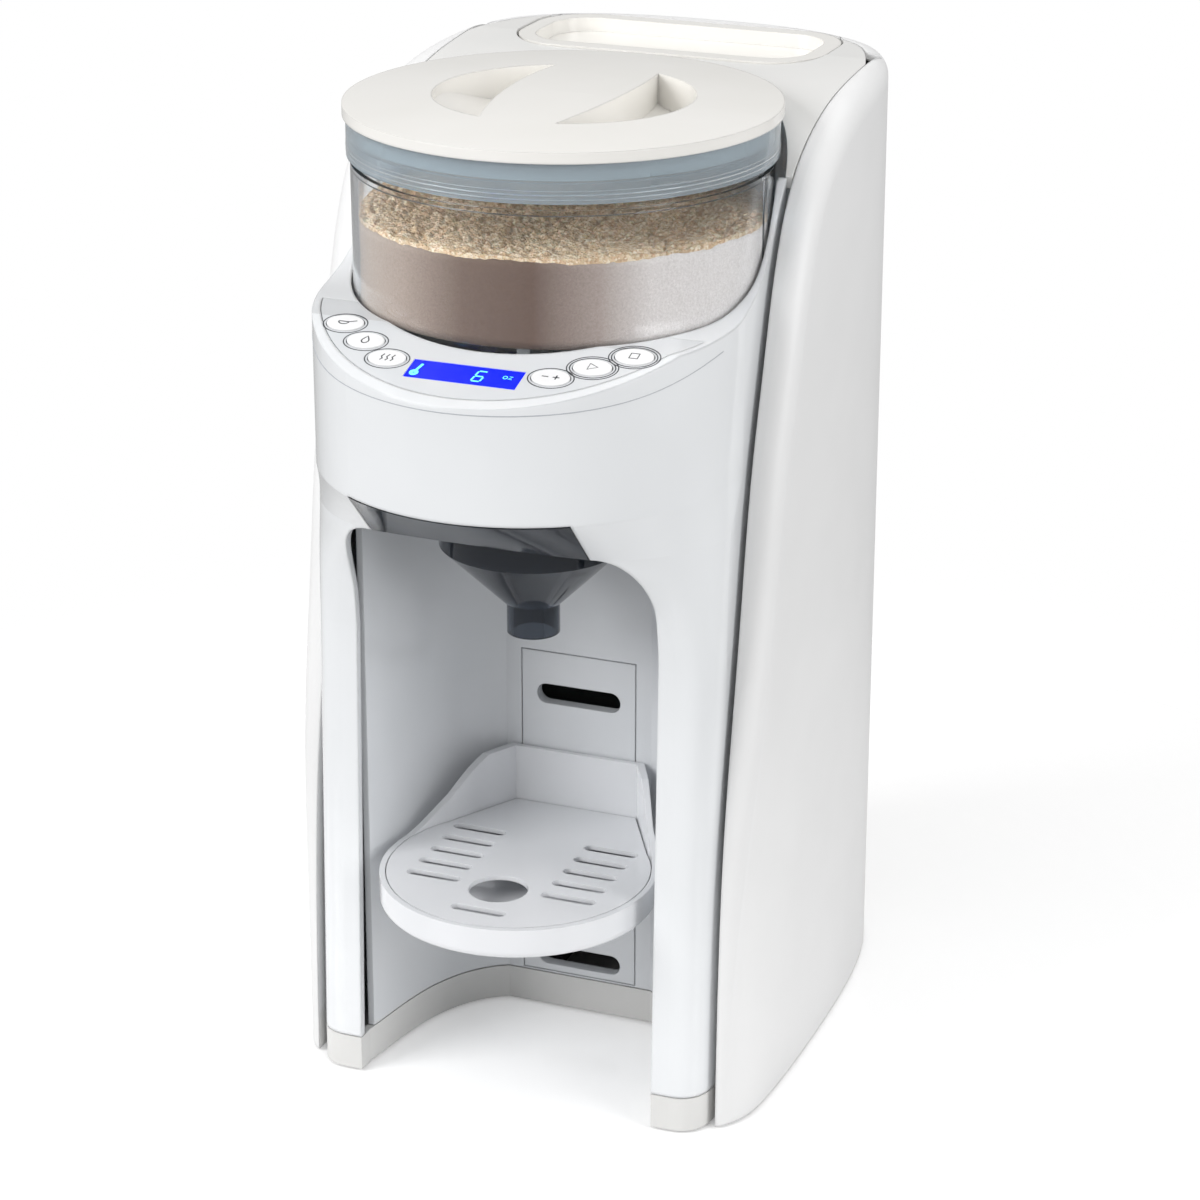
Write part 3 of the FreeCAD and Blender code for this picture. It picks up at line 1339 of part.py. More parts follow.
nodes = {
    "base_plinth": make_base_plinth,
    "rubber_feet": make_rubber_feet,
    "base_screws": make_base_screws,
    "front_housing": make_front_housing,
    "bay_liner": make_bay_liner,
    "tray_slot_panel": make_tray_slot_panel,
    "side_panel_right": lambda: make_side_panel(1),
    "side_panel_left": lambda: make_side_panel(-1),
    "rear_cover": make_rear_cover,
    "inlet_socket": make_inlet_socket,
    "top_frame": make_top_frame,
    "chassis": make_chassis,
    "control_panel": make_control_panel,
    "button_board": make_button_board,
    "display_window": make_display_window,
    "display_module": make_display_module,
    "powder_container": make_powder_container,
    "portion_wheel": make_portion_wheel,
    "rotor_shaft": make_rotor_shaft,
    "stirrer": make_stirrer,
    "powder_fill": make_powder_fill,
    "lid_collar": make_lid_collar,
    "powder_lid": make_powder_lid,
    "drive_gear": make_drive_gear,
    "idler_gear": make_idler_gear,
    "motor_pinion": make_motor_pinion,
    "motor_shaft": make_motor_shaft,
    "powder_motor": make_powder_motor,
    "drive_bracket": make_drive_bracket,
    "powder_chute": make_powder_chute,
    "funnel": make_funnel,
    "drip_tray": make_drip_tray,
    "tray_cover": make_tray_cover,
    "water_tank": make_water_tank,
    "tank_valve": make_tank_valve,
    "tank_seat": make_tank_seat,
    "tank_pads": make_tank_pads,
    "tank_lid": make_tank_lid,
    "pump": make_pump,
    "heater": make_heater,
    "suction_tube": make_suction_tube,
    "pressure_tube": make_pressure_tube,
    "hot_tube": make_hot_tube,
    "nozzle": make_nozzle,
    "control_board": make_control_board,
    "board_posts": make_board_posts,
}

for name, make in nodes.items():
    export(name, make())

button_names = ("button_powder", "button_water", "button_heat",
                "button_volume", "button_start", "button_stop")
for index, name in enumerate(button_names):
    export(name, make_button(index))
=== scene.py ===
import bpy
import json
import math
import numpy as np
from bpy.props import FloatProperty, IntProperty, PointerProperty
from bpy.types import Operator, Panel, PropertyGroup
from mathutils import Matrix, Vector


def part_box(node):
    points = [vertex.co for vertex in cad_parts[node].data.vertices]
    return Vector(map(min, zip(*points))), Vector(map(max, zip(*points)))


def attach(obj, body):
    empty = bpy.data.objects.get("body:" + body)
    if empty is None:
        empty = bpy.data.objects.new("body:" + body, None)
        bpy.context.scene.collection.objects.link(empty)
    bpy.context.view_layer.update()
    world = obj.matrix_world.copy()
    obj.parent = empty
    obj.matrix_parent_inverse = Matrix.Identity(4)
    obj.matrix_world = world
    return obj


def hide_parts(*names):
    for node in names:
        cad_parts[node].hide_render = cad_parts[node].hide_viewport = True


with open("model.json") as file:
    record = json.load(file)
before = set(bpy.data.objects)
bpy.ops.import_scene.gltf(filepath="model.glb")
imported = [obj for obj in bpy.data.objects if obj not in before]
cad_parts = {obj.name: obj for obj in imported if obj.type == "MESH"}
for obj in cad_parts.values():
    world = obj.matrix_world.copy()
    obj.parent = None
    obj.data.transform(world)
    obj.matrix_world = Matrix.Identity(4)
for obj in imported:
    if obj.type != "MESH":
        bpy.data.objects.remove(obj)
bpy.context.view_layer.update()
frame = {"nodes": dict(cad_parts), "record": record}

bl_info = {
    "name": "Baby Formula Maker",
    "version": (1, 0, 0),
    "blender": (4, 5, 0),
    "location": "View3D > Sidebar > Formula Maker",
    "description": "Builds the visual model of a countertop baby formula maker on its CAD frame",
    "category": "Object",
}

# Sizes below are in millimetres, in the frame's axes, except where a name says otherwise
MM = 0.001
NODES = frame["nodes"]
# The container, its collar and the powder are round about this upright axis at x 0
POWDER_AXIS_Y = -24.4
# Half the width over which the painted light on the packed powder changes: painted reflections at the sides,
# painted shade in the middle
POWDER_PAINTED_LIGHT_REACH = 73.0
# The key plate: rise over run, and one point that it passes through
PANEL_SLOPE = 0.3
PANEL_ANGLE = math.atan(PANEL_SLOPE)
PANEL_POINT_Y, PANEL_POINT_Z = -100.2, 296.5
# Centres of the six keys from left to right, the bodies that they move, and half of a key's oval
BUTTON_PLACES = [(-53.8, -93.6), (-42.0, -102.3), (-30.2, -110.6),
                 (30.2, -110.6), (42.0, -102.3), (53.8, -93.6)]
BUTTON_BODIES = ["button_powder", "button_water", "button_heat",
                 "button_volume", "button_start", "button_stop"]
BUTTON_HALF = (6.9, 4.6)
# Printed rings: gaps from the key to each ring, for the four setting keys and for start and stop
SETTING_RING_GAPS = [1.25]
RUN_RING_GAPS = [1.2, 2.2]
SETTING_KEYS = 4
RING_WIDTH = 0.42
SYMBOL_WIDTH = 0.5
# Print stands from a low to a high height over the surface that it is on
RING_HEIGHTS = (-0.02, 0.05)
SYMBOL_HEIGHTS = (0.57, 0.63)
FIGURE_HEIGHTS = (0.0, 0.04)
# The display window's middle, and how far its figures lie under the key plate's plane
DISPLAY_Y = -114.0
FIGURE_DEPTH = 0.18
# Collar step lines: height over the collar's foot and radius of each bead
COLLAR_STEPS = [(1.6, 0.22), (3.2, 0.3), (4.6, 0.16)]
# Head parting line: the ellipse that it follows, the part of it that shows, its height and its bead
SEAM_HALF_WIDTH, SEAM_HALF_DEPTH, SEAM_AXIS_Y = 78.0, 83.3, -50.2
SEAM_ARC_DEGREES = 156.0
SEAM_FRONT_Z, SEAM_CLIMB, SEAM_END_CLIMB = 284.6, 3.4, 9.0
SEAM_BEAD, SEAM_SINK = 0.22, 0.1
# Smallest radius of a form turned round an axis, where its end cap closes it
POLE_RADIUS = 0.4


# Colour and material helpers

def linear(code, alpha=1.0):
    """Linear RGBA of an sRGB hex colour."""
    values = [int(code[i:i + 2], 16) / 255.0 for i in (1, 3, 5)]
    out = [v / 12.92 if v <= 0.04045 else ((v + 0.055) / 1.055) ** 2.4 for v in values]
    return (*out, alpha)


def add(tree, kind, links=None, **values):
    """Adds a node, sets its properties and input defaults by name, and links its inputs."""
    node = tree.nodes.new(kind)
    for key, value in values.items():
        if hasattr(node, key):
            setattr(node, key, value)
        else:
            node.inputs[key.replace("_", " ")].default_value = value
    for key, socket in (links or {}).items():
        tree.links.new(socket, node.inputs[key])
    return node


def new_material(name):
    """An empty material with one Principled shader; returns it, its node tree and the shader."""
    material = bpy.data.materials.new(name)
    material.use_nodes = True
    tree = material.node_tree
    tree.nodes.clear()
    output = add(tree, "ShaderNodeOutputMaterial")
    shader = add(tree, "ShaderNodeBsdfPrincipled")
    tree.links.new(shader.outputs[0], output.inputs["Surface"])
    return material, tree, shader


def mm_coordinates(tree, scale=(1.0, 1.0, 1.0)):
    """Object coordinates in millimetres."""
    coordinates = add(tree, "ShaderNodeTexCoord")
    mapping = add(tree, "ShaderNodeMapping", {"Vector": coordinates.outputs["Object"]})
    mapping.inputs["Scale"].default_value = [1000.0 * s for s in scale]
    return mapping.outputs[0]


def noise(tree, vector, period, detail=3.0, rough=0.5):
    """Noise in 0..1 whose features are about one period, in millimetres, apart."""
    node = add(tree, "ShaderNodeTexNoise", {"Vector": vector})
    node.inputs["Scale"].default_value = 1.0 / period
    node.inputs["Detail"].default_value = detail
    node.inputs["Roughness"].default_value = rough
    return node.outputs["Fac"]


def ramp(tree, factor, stops):
    """Colour ramp; stops are (position, hex colour)."""
    node = add(tree, "ShaderNodeValToRGB", {"Fac": factor})
    elements = node.color_ramp.elements
    for index, (position, code) in enumerate(stops):
        element = elements[index] if index < 2 else elements.new(position)
        element.position = position
        element.color = linear(code)
    return node.outputs["Color"]


def spread(tree, factor, low, high):
    """Stretches a factor in 0..1 to run from low to high."""
    node = add(tree, "ShaderNodeMapRange", {"Value": factor})
    node.inputs["To Min"].default_value = low
    node.inputs["To Max"].default_value = high
    return node.outputs["Result"]


def bumped(tree, height, distance_mm, strength=1.0, edge_mm=0.0):
    """Normal from a height in 0..1 that stands for so many millimetres, over softly rounded edges."""
    bump = add(tree, "ShaderNodeBump", {"Height": height})
    bump.inputs["Strength"].default_value = strength
    bump.inputs["Distance"].default_value = distance_mm * MM
    if edge_mm:
        edge = add(tree, "ShaderNodeBevel")
        edge.samples = 4
        edge.inputs["Radius"].default_value = edge_mm * MM
        tree.links.new(edge.outputs[0], bump.inputs["Normal"])
    return bump.outputs[0]


def moulded(name, dark, pale, rough, grain_mm, bump_mm, edge_mm=0.5, coat=0.0):
    """Injection-moulded plastic: tone drifts slowly, roughness wanders, and the tool's grain shows close."""
    material, tree, shader = new_material(name)
    place = mm_coordinates(tree)
    drift = noise(tree, place, 60.0, 2.0)
    tree.links.new(ramp(tree, drift, [(0.3, dark), (0.7, pale)]), shader.inputs["Base Color"])
    patches = noise(tree, place, 9.0, 4.0)
    tree.links.new(spread(tree, patches, rough * 0.94, rough * 1.06), shader.inputs["Roughness"])
    grain = noise(tree, place, grain_mm, 3.0, 0.6)
    tree.links.new(bumped(tree, grain, bump_mm, 0.6, edge_mm), shader.inputs["Normal"])
    shader.inputs["IOR"].default_value = 1.5
    if coat:
        shader.inputs["Coat Weight"].default_value = coat
        shader.inputs["Coat Roughness"].default_value = 0.06
    return material


def clear_plastic(name, tint, rough, scratch, edge_mm=0.4, haze=0.0):
    """Clear or smoked moulded plastic: flow lines bend the light a little, wiping leaves fine scratches.
    The IOR is that of a clear copolyester or acrylic."""
    material, tree, shader = new_material(name)
    place = mm_coordinates(tree)
    flow = noise(tree, place, 26.0, 2.0)
    fine = noise(tree, mm_coordinates(tree, (1.0, 1.0, 9.0)), 3.0, 4.0, 0.7)
    shader.inputs["Base Color"].default_value = linear(tint)
    shader.inputs["Transmission Weight"].default_value = 1.0 - haze
    shader.inputs["IOR"].default_value = 1.49
    tree.links.new(spread(tree, fine, rough, rough + scratch), shader.inputs["Roughness"])
    tree.links.new(bumped(tree, flow, 0.25, 0.25, edge_mm), shader.inputs["Normal"])
    # Light on its way to a lamp passes the thin wall, tinted, so that what it holds isn't left dark
    passing = add(tree, "ShaderNodeBsdfTransparent")
    passing.inputs["Color"].default_value = linear(tint)
    rays = add(tree, "ShaderNodeLightPath")
    through = add(tree, "ShaderNodeMixShader", {0: rays.outputs["Is Shadow Ray"], 1: shader.outputs[0],
                                               2: passing.outputs[0]})
    tree.links.new(through.outputs[0], tree.nodes["Material Output"].inputs["Surface"])
    return material


def metal(name, code, rough, streak):
    """Drawn or ground steel with fine streaks along one way."""
    material, tree, shader = new_material(name)
    lines = noise(tree, mm_coordinates(tree, streak), 0.6, 5.0, 0.65)
    shader.inputs["Metallic"].default_value = 1.0
    tree.links.new(ramp(tree, lines, [(0.2, code), (0.9, "#D9DBDE")]), shader.inputs["Base Color"])
    tree.links.new(spread(tree, lines, rough, rough + 0.15), shader.inputs["Roughness"])
    tree.links.new(bumped(tree, lines, 0.01, 0.4, 0.3), shader.inputs["Normal"])
    return material


def circuit_board(name):
    """Solder-masked board: dark green resist over copper tracks that run both ways."""
    material, tree, shader = new_material(name)
    place = mm_coordinates(tree)
    tracks = add(tree, "ShaderNodeTexVoronoi", {"Vector": place}, distance="MANHATTAN",
                 feature="DISTANCE_TO_EDGE")
    track_pitch_mm = 4.0
    tracks.inputs["Scale"].default_value = 1.0 / track_pitch_mm
    colour = ramp(tree, tracks.outputs["Distance"], [(0.0, "#0E4A26"), (0.08, "#1C7A42"), (0.16, "#0B3D20")])
    tree.links.new(colour, shader.inputs["Base Color"])
    shader.inputs["Roughness"].default_value = 0.3
    tree.links.new(bumped(tree, tracks.outputs["Distance"], 0.04), shader.inputs["Normal"])
    return material


def granules(name, codes, grain_mm):
    """Milk formula: crumbs of a few tenths of a millimetre in pale and darker tones scattered at random, which
    paint the highlights and shade of lit and shaded crumbs.
    """
    material, tree, shader = new_material(name)
    place = mm_coordinates(tree)
    crumbs = add(tree, "ShaderNodeTexVoronoi", {"Vector": place})
    crumbs.inputs["Scale"].default_value = 1.0 / grain_mm
    clumps = noise(tree, place, 7.0, 5.0, 0.6)
    mixed = add(tree, "ShaderNodeMix", data_type="FLOAT")
    mixed.inputs[0].default_value = 0.55
    separate = add(tree, "ShaderNodeSeparateColor", {"Color": crumbs.outputs["Color"]})
    tree.links.new(separate.outputs[0], mixed.inputs[2])
    tree.links.new(clumps, mixed.inputs[3])
    # Painted light: the pale and dark stops paint crumbs' highlights and shade, scattered at random
    crumb_highlight_and_shade = ramp(tree, mixed.outputs[0], list(zip((0.15, 0.5, 0.85), codes)))
    tree.links.new(crumb_highlight_and_shade, shader.inputs["Base Color"])
    shader.inputs["Roughness"].default_value = 0.85
    shader.inputs["Subsurface Weight"].default_value = 0.15
    shader.inputs["Subsurface Scale"].default_value = 0.001
    tree.links.new(bumped(tree, crumbs.outputs["Distance"], 0.5, 0.9), shader.inputs["Normal"])
    return material


def packed_powder(name):
    """Milk formula pressed on the clear wall: fine even grain, darker in the middle than at the sides: painted
    shade in the middle, painted reflections of the softboxes in the clear wall at the sides.
    """
    material, tree, shader = new_material(name)
    place = mm_coordinates(tree)
    parts = add(tree, "ShaderNodeSeparateXYZ", {"Vector": place})
    across = add(tree, "ShaderNodeMapRange", {"Value": parts.outputs["X"]})
    across.inputs["From Min"].default_value = -POWDER_PAINTED_LIGHT_REACH
    across.inputs["From Max"].default_value = POWDER_PAINTED_LIGHT_REACH
    # Painted light across x: the pale sides paint the softboxes' reflections in the clear wall, and the dark
    # middle paints shade
    painted_light_tone = ramp(tree, across.outputs["Result"],
                [(0.0, "#CBBCAE"), (1.0, "#F1E9E3"), (0.28, "#AD9A8C"), (0.45, "#7A6456"), (0.62, "#6F5648"),
                 (0.76, "#B3A196"), (0.86, "#EDE3DC")])
    grain = noise(tree, place, 0.8, 5.0, 0.7)
    fine = ramp(tree, grain, [(0.3, "#B9B2AC"), (0.7, "#FFFFFF")])
    mixed = add(tree, "ShaderNodeMix", data_type="RGBA", blend_type="MULTIPLY")
    mixed.inputs[0].default_value = 0.5
    tree.links.new(painted_light_tone, mixed.inputs[6])
    tree.links.new(fine, mixed.inputs[7])
    tree.links.new(mixed.outputs[2], shader.inputs["Base Color"])
    shader.inputs["Roughness"].default_value = 0.9
    tree.links.new(bumped(tree, grain, 0.25, 0.7), shader.inputs["Normal"])
    return material


def rubber(name, code, pale):
    """Moulded rubber with a dusty bloom."""
    material, tree, shader = new_material(name)
    place = mm_coordinates(tree)
    bloom = noise(tree, place, 5.0, 5.0, 0.65)
    tree.links.new(ramp(tree, bloom, [(0.35, code), (0.8, pale)]), shader.inputs["Base Color"])
    shader.inputs["Roughness"].default_value = 0.7
    tree.links.new(bumped(tree, noise(tree, place, 0.4), 0.05, 0.6, 0.3), shader.inputs["Normal"])
    return material


def lit_display(name):
    """Back-lit blue display behind a glossy window, with its fine column pitch."""
    material, tree, shader = new_material(name)
    place = mm_coordinates(tree)
    wave = add(tree, "ShaderNodeTexWave", {"Vector": place}, bands_direction="X")
    wave.inputs["Scale"].default_value = 0.9
    colour = ramp(tree, wave.outputs["Fac"], [(0.0, "#0412C8"), (0.6, "#0B22EC")])
    tree.links.new(colour, shader.inputs["Base Color"])
    tree.links.new(colour, shader.inputs["Emission Color"])
    shader.inputs["Emission Strength"].default_value = 0.75
    shader.inputs["Roughness"].default_value = 0.08
    return material


def glowing_figures(name):
    """Lit figures of the display, a little brighter along their middle rows."""
    material, tree, shader = new_material(name)
    rows = add(tree, "ShaderNodeTexWave", {"Vector": mm_coordinates(tree)}, bands_direction="X")
    rows.inputs["Scale"].default_value = 1.4
    colour = ramp(tree, rows.outputs["Fac"], [(0.0, "#38CFFF"), (1.0, "#8AF0FF")])
    tree.links.new(colour, shader.inputs["Base Color"])
    tree.links.new(colour, shader.inputs["Emission Color"])
    shader.inputs["Emission Strength"].default_value = 0.9
    shader.inputs["Roughness"].default_value = 0.3
    return material


MATERIALS = {}


def make_materials():
    """One procedural material for each slot of the record."""
    MATERIALS.update({
        # Glossy injection-moulded ABS of the housing, faintly cool: soft wide highlights
        "gloss_housing": moulded("gloss_moulded_abs_cool_white", "#E6E8EA", "#EBEDEF", 0.14, 0.9, 0.004,
                                 1.6, 0.6),
        # Spark-eroded matte ABS of the side panels: light spreads evenly, with no highlight
        "matte_side_panel": moulded("spark_textured_abs_light_grey", "#E6E6E6", "#EBEBEB", 0.42, 0.28, 0.02,
                                    1.4),
        # Satin ABS of the base band and rear top: a shade darker than the housing
        "plinth_white": moulded("satin_abs_off_white", "#DADAD8", "#E2E1DF", 0.3, 0.35, 0.012, 0.5),
        # Satin ABS liner of the filling bay: takes soft light from the opening
        "bay_white": moulded("satin_abs_bay_white", "#DCDFE2", "#E3E5E8", 0.24, 0.4, 0.006, 0.8, 0.3),
        # Glossy warm-white lid mouldings: warmer than the housing below them
        "lid_white": moulded("gloss_moulded_abs_warm_white", "#ECEAE5", "#F1EFEB", 0.2, 0.8, 0.006, 0.9, 0.3),
        # Polycarbonate sheet of the key plate: a cool silvery white with a clear sheen
        "panel_white": moulded("gloss_polycarbonate_sheet_white", "#D6D9DC", "#E0E2E4", 0.14, 0.8, 0.004,
                               0.3, 0.4),
        # Moulded key tops: the whitest plastic of the front
        "button_white": moulded("gloss_moulded_key_white", "#F0F0F1", "#F6F6F6", 0.18, 0.7, 0.005, 0.3, 0.3),
        # Glossy ABS of the drip tray and its cover
        "tray_white": moulded("gloss_moulded_abs_tray_white", "#E2E4E7", "#E9EAED", 0.2, 0.8, 0.006,
                              0.6, 0.3),
        # Back-lit liquid crystal window: gives its own even blue light
        "display_glass": lit_display("back_lit_display_blue"),
        # Black moulded frame that holds the display
        "display_body": moulded("moulded_display_frame_black", "#18181B", "#202024", 0.4, 0.3, 0.01, 0.2),
        # Clear injection-moulded copolyester of the containers: sharp rims, faint scratches
        "clear_container": clear_plastic("clear_moulded_copolyester", "#F4F7FA", 0.01, 0.03),
        # Blue-grey copolyester ring: lets light through but blurs what lies behind
        "smoke_collar": clear_plastic("blue_grey_translucent_copolyester", "#C6D0D6", 0.08, 0.06, 0.4, 0.3),
        # Dark smoked copolyester of the funnel: nearly black where it is thick
        "smoke_funnel": clear_plastic("dark_smoked_copolyester", "#5A626E", 0.05, 0.06, 0.4, 0.1),
        # Loose milk formula: dry, pale tan crumbs with no shine. Real crumbs are about 0.3 mm, drawn coarser
        # here so that they show
        # The crumbs' pale and dark tones are painted highlight and shade of lit and shaded crumbs
        "powder": granules("milk_formula_crumbs_pale_tan", ("#B58D66", "#DDBF9A", "#F8EAD2"), 0.9),
        # The same powder where it is pressed on the wall: smooth and matte, with painted shade in the middle
        # and painted reflections at the sides
        "powder_packed": packed_powder("milk_formula_packed_on_wall"),
        # Acetal of the portion wheel: slightly waxy white
        "wheel_white": moulded("moulded_acetal_white", "#D6D6D2", "#DFDFDB", 0.35, 0.4, 0.01, 0.3),
        # Undyed acetal of the gears: a yellower white
        "gear_plastic": moulded("moulded_acetal_natural", "#CFCBC0", "#DAD7CC", 0.4, 0.3, 0.01, 0.2),
        # Ground stainless steel of the shafts: streaks run round the shaft
        "shaft_steel": metal("ground_stainless_steel", "#8D8F94", 0.22, (1.0, 1.0, 0.1)),
        # Drawn, zinc-plated steel of the motor and pump cans: streaks run along the can
        "motor_steel": metal("drawn_zinc_plated_steel", "#7C7F84", 0.3, (0.1, 0.1, 1.0)),
        # Glass-filled nylon of the inner frame: dull grey with a visible grain
        "frame_grey": moulded("glass_filled_nylon_grey", "#7F8285", "#8C8F92", 0.5, 0.5, 0.03, 0.5),
        # Solder-masked glass-fibre board: glossy green with darker tracks
        "board_green": circuit_board("solder_masked_board_green"),
        # Moulded rubber of the feet: black with a dusty bloom
        "foot_rubber": rubber("moulded_rubber_black", "#17171A", "#2B2B2E"),
        # Extruded silicone of the hoses: milky and soft-looking
        "hose_silicone": rubber("extruded_silicone_natural", "#C7C6BF", "#D8D7D2"),
        # Pad-printed grey ink of the rings and symbols: flat, without a rounded edge
        "print_ink": moulded("pad_printed_ink_grey", "#3A3C40", "#4A4C50", 0.45, 0.3, 0.004, 0.0),
        # The same ABS in the shadow of the head's parting line: a fine grey line
        "seam_grey": moulded("shadowed_parting_line_grey", "#A9ADB3", "#B6B9BE", 0.4, 0.5, 0.003, 0.0),
        # Lit figures of the display: pale cyan light
        "display_cyan": glowing_figures("lit_display_figures_cyan"),
        # Moulded nylon of the mains inlet: dull black
        "inlet_black": moulded("moulded_nylon_black", "#131314", "#1D1D1F", 0.4, 0.3, 0.01, 0.3),
    })


def dress(node_name):
    """Gives a CAD node the material of its slot in the record."""
    slots = {row["node"]: row["material_slot"] for row in frame["record"]["subparts"]}
    node = NODES[node_name]
    material = MATERIALS[slots[node_name]]
    if node.material_slots:
        for item in node.material_slots:
            item.material = material
    else:
        node.data.materials.append(material)


# Mesh helpers

def solid(name, points, faces, material, body, smooth=True):
    """Makes a mesh object at the origin from points in millimetres and rides it on a body."""
    mesh = bpy.data.meshes.new(name)
    mesh.from_pydata((np.asarray(points) * MM).tolist(), [], faces)
    mesh.polygons.foreach_set("use_smooth", [smooth] * len(mesh.polygons))
    mesh.materials.append(material)
    mesh.update()
    piece = bpy.data.objects.new(name, mesh)
    bpy.context.scene.collection.objects.link(piece)
    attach(piece, body)
    return piece


def tube_faces(rings, sides, closed_path=False):
    """Quads of a grid of rings x sides points, each ring closed, with end caps on an open path."""
    ring = np.arange(rings if closed_path else rings - 1)[:, None]
    side = np.arange(sides)[None, :]
    after = (ring + 1) % rings
    beside = (side + 1) % sides
    quads = np.stack([ring * sides + side, ring * sides + beside,
                      after * sides + beside, after * sides + side], axis=-1).reshape(-1, 4).tolist()
    if not closed_path:
        quads.append(list(range(sides))[::-1])
        quads.append(list(range((rings - 1) * sides, rings * sides)))
    return quads


def stroke(points, width, low, high, closed=False):
    """A line of constant width drawn on the plane: each point is moved half the width to either side along
    the mean normal of its neighbours, and the strip is given a thickness from low to high."""
    points = np.asarray(points, float)
    if closed:
        along = np.roll(points, -1, 0) - np.roll(points, 1, 0)
    else:
        along = np.gradient(points, axis=0)
    along /= np.linalg.norm(along, axis=1)[:, None]
    across = np.stack([-along[:, 1], along[:, 0]], 1) * width / 2
    left, right = points + across, points - across
    rows = [np.c_[side, np.full(len(points), height)]
            for side, height in ((left, low), (right, low), (right, high), (left, high))]
    return np.stack(rows, 1).reshape(-1, 3), tube_faces(len(points), 4, closed)


def oval_points(half_width, half_depth, count=72, start=0.0, turn=1.0):
    """Points on an ellipse: cosine and sine of an angle that starts at a share of a turn and runs over
    another share. A whole turn leaves out the last point, which would repeat the first."""
    angle = 2 * math.pi * (start + turn * np.arange(count) / (count if turn == 1.0 else count - 1))
    return np.c_[half_width * np.cos(angle), half_depth * np.sin(angle)]


def gather(shapes):
    """Joins several (points, faces) shapes into one."""
    points, faces, offset = [], [], 0
    for shape_points, shape_faces in shapes:
        points.append(shape_points)
        faces += [[index + offset for index in face] for face in shape_faces]
        offset += len(shape_points)
    return np.concatenate(points), faces


def on_panel(points, x, y):
    """Lays points drawn flat at the origin on the sloped key plate at x, y."""
    points = np.asarray(points, float)
    run, rise = math.cos(PANEL_ANGLE), math.sin(PANEL_ANGLE)
    height = PANEL_POINT_Z + PANEL_SLOPE * (y - PANEL_POINT_Y)
    return np.c_[x + points[:, 0], y + points[:, 1] * run - points[:, 2] * rise,
                 height + points[:, 1] * rise + points[:, 2] * run]


def value_noise(x, y, cell, seed):
    """Smooth noise in 0..1: a fixed 64 x 64 lattice of random heights, one a cell, mixed by a smooth step
    of the place inside the cell."""
    lattice = np.random.default_rng(seed).random((64, 64))
    u, v = x / cell + 100.0, y / cell + 100.0
    i, j = np.floor(u).astype(int), np.floor(v).astype(int)
    a, b = u - i, v - j
    a, b = a * a * (3 - 2 * a), b * b * (3 - 2 * b)
    near, next_column = lattice[i % 64, j % 64], lattice[(i + 1) % 64, j % 64]
    next_row, across = lattice[i % 64, (j + 1) % 64], lattice[(i + 1) % 64, (j + 1) % 64]
    return (near * (1 - a) + next_column * a) * (1 - b) + (next_row * (1 - a) + across * a) * b


def crumb_heights(x, y, cell, seed):
    """Rounded crumbs: one random centre a cell, each point rises as a dome to its nearest centre."""
    random = np.random.default_rng(seed)
    offsets = random.random((64, 64, 2))
    sizes = 0.5 + 0.5 * random.random((64, 64))
    i, j = np.floor(x / cell).astype(int), np.floor(y / cell).astype(int)
    best = np.zeros_like(x)
    for di in (-1, 0, 1):
        for dj in (-1, 0, 1):
            cx, cy = (i + di) % 64, (j + dj) % 64
            dx = (i + di + offsets[cx, cy, 0]) * cell - x
            dy = (j + dj + offsets[cx, cy, 1]) * cell - y
            dome = sizes[cx, cy] * np.clip(1 - (dx * dx + dy * dy) / (0.55 * cell * cell), 0, 1)
            best = np.maximum(best, dome)
    return best


# Settings

class BFM_SceneSettings(PropertyGroup):
    """Stage and camera."""
    powder_sides: IntProperty(name="Powder sides", description="Points round the milk formula", default=560)
    lens: FloatProperty(name="Lens", description="Focal length on a 36 mm sensor", default=105.92,
                        unit="CAMERA")
    world_light: FloatProperty(name="Room light", description="Strength of the even room light", default=0.44)
    floor_half_width: FloatProperty(name="Floor half width", description="Half the floor's side", default=3.0,
                                    unit="LENGTH")
    floor_clear: FloatProperty(name="Floor fade start", description="Distance in mm where the floor starts "
                               "to fade into the white room", default=190.0)
    floor_gone: FloatProperty(name="Floor fade end", description="Distance in mm where the floor has faded",
                              default=520.0)
    floor_glow: FloatProperty(name="Floor lift", description="Light added to the floor for the camera alone",
                              default=0.24)
    key_power: FloatProperty(name="Key power", description="Power of the large front-left softbox",
                             default=25.0, unit="POWER")
    fill_power: FloatProperty(name="Fill power", description="Power of the right-hand softbox", default=12.0,
                              unit="POWER")
    top_power: FloatProperty(name="Top power", description="Power of the overhead softbox", default=8.0,
                             unit="POWER")


def settings():
    """The scene's sizes and powers, as the panel shows them."""
    return bpy.context.scene.bfm_settings


def area_light(name, place, target, size, power):
    """A rectangular softbox at a place, turned to face a target; places and sizes in metres."""
    data = bpy.data.lights.new(name, "AREA")
    data.shape = "RECTANGLE"
    data.size, data.size_y = size
    data.energy = power
    light = bpy.data.objects.new(name, data)
    light.location = place
    light.rotation_euler = (Vector(target) - Vector(place)).to_track_quat("-Z", "Y").to_euler()
    bpy.context.scene.collection.objects.link(light)
    return light


# The stage, in metres: each softbox's name, place, width and height, and its power among the settings
LIGHT_TARGET = (0.0, 0.0, 0.2)
SOFTBOXES = [("softbox_front_left", (-1.1, -1.3, 1.1), (1.0, 1.2), "key_power"),
             ("softbox_right", (1.5, -0.5, 0.7), (0.7, 1.2), "fill_power"),
             ("softbox_top", (0.0, 0.1, 1.6), (1.4, 1.4), "top_power")]
# The camera: metres, degrees, sensor in mm, and the shift as a share of the sensor
CAMERA_PLACE = (0.4603, -1.1547, 0.656)
CAMERA_TURN_DEGREES, CAMERA_PITCH_DEGREES = 21.55, 20.4
CAMERA_SHIFT, CAMERA_NEAR, SENSOR_WIDTH = -0.0513, 0.05, 36.0


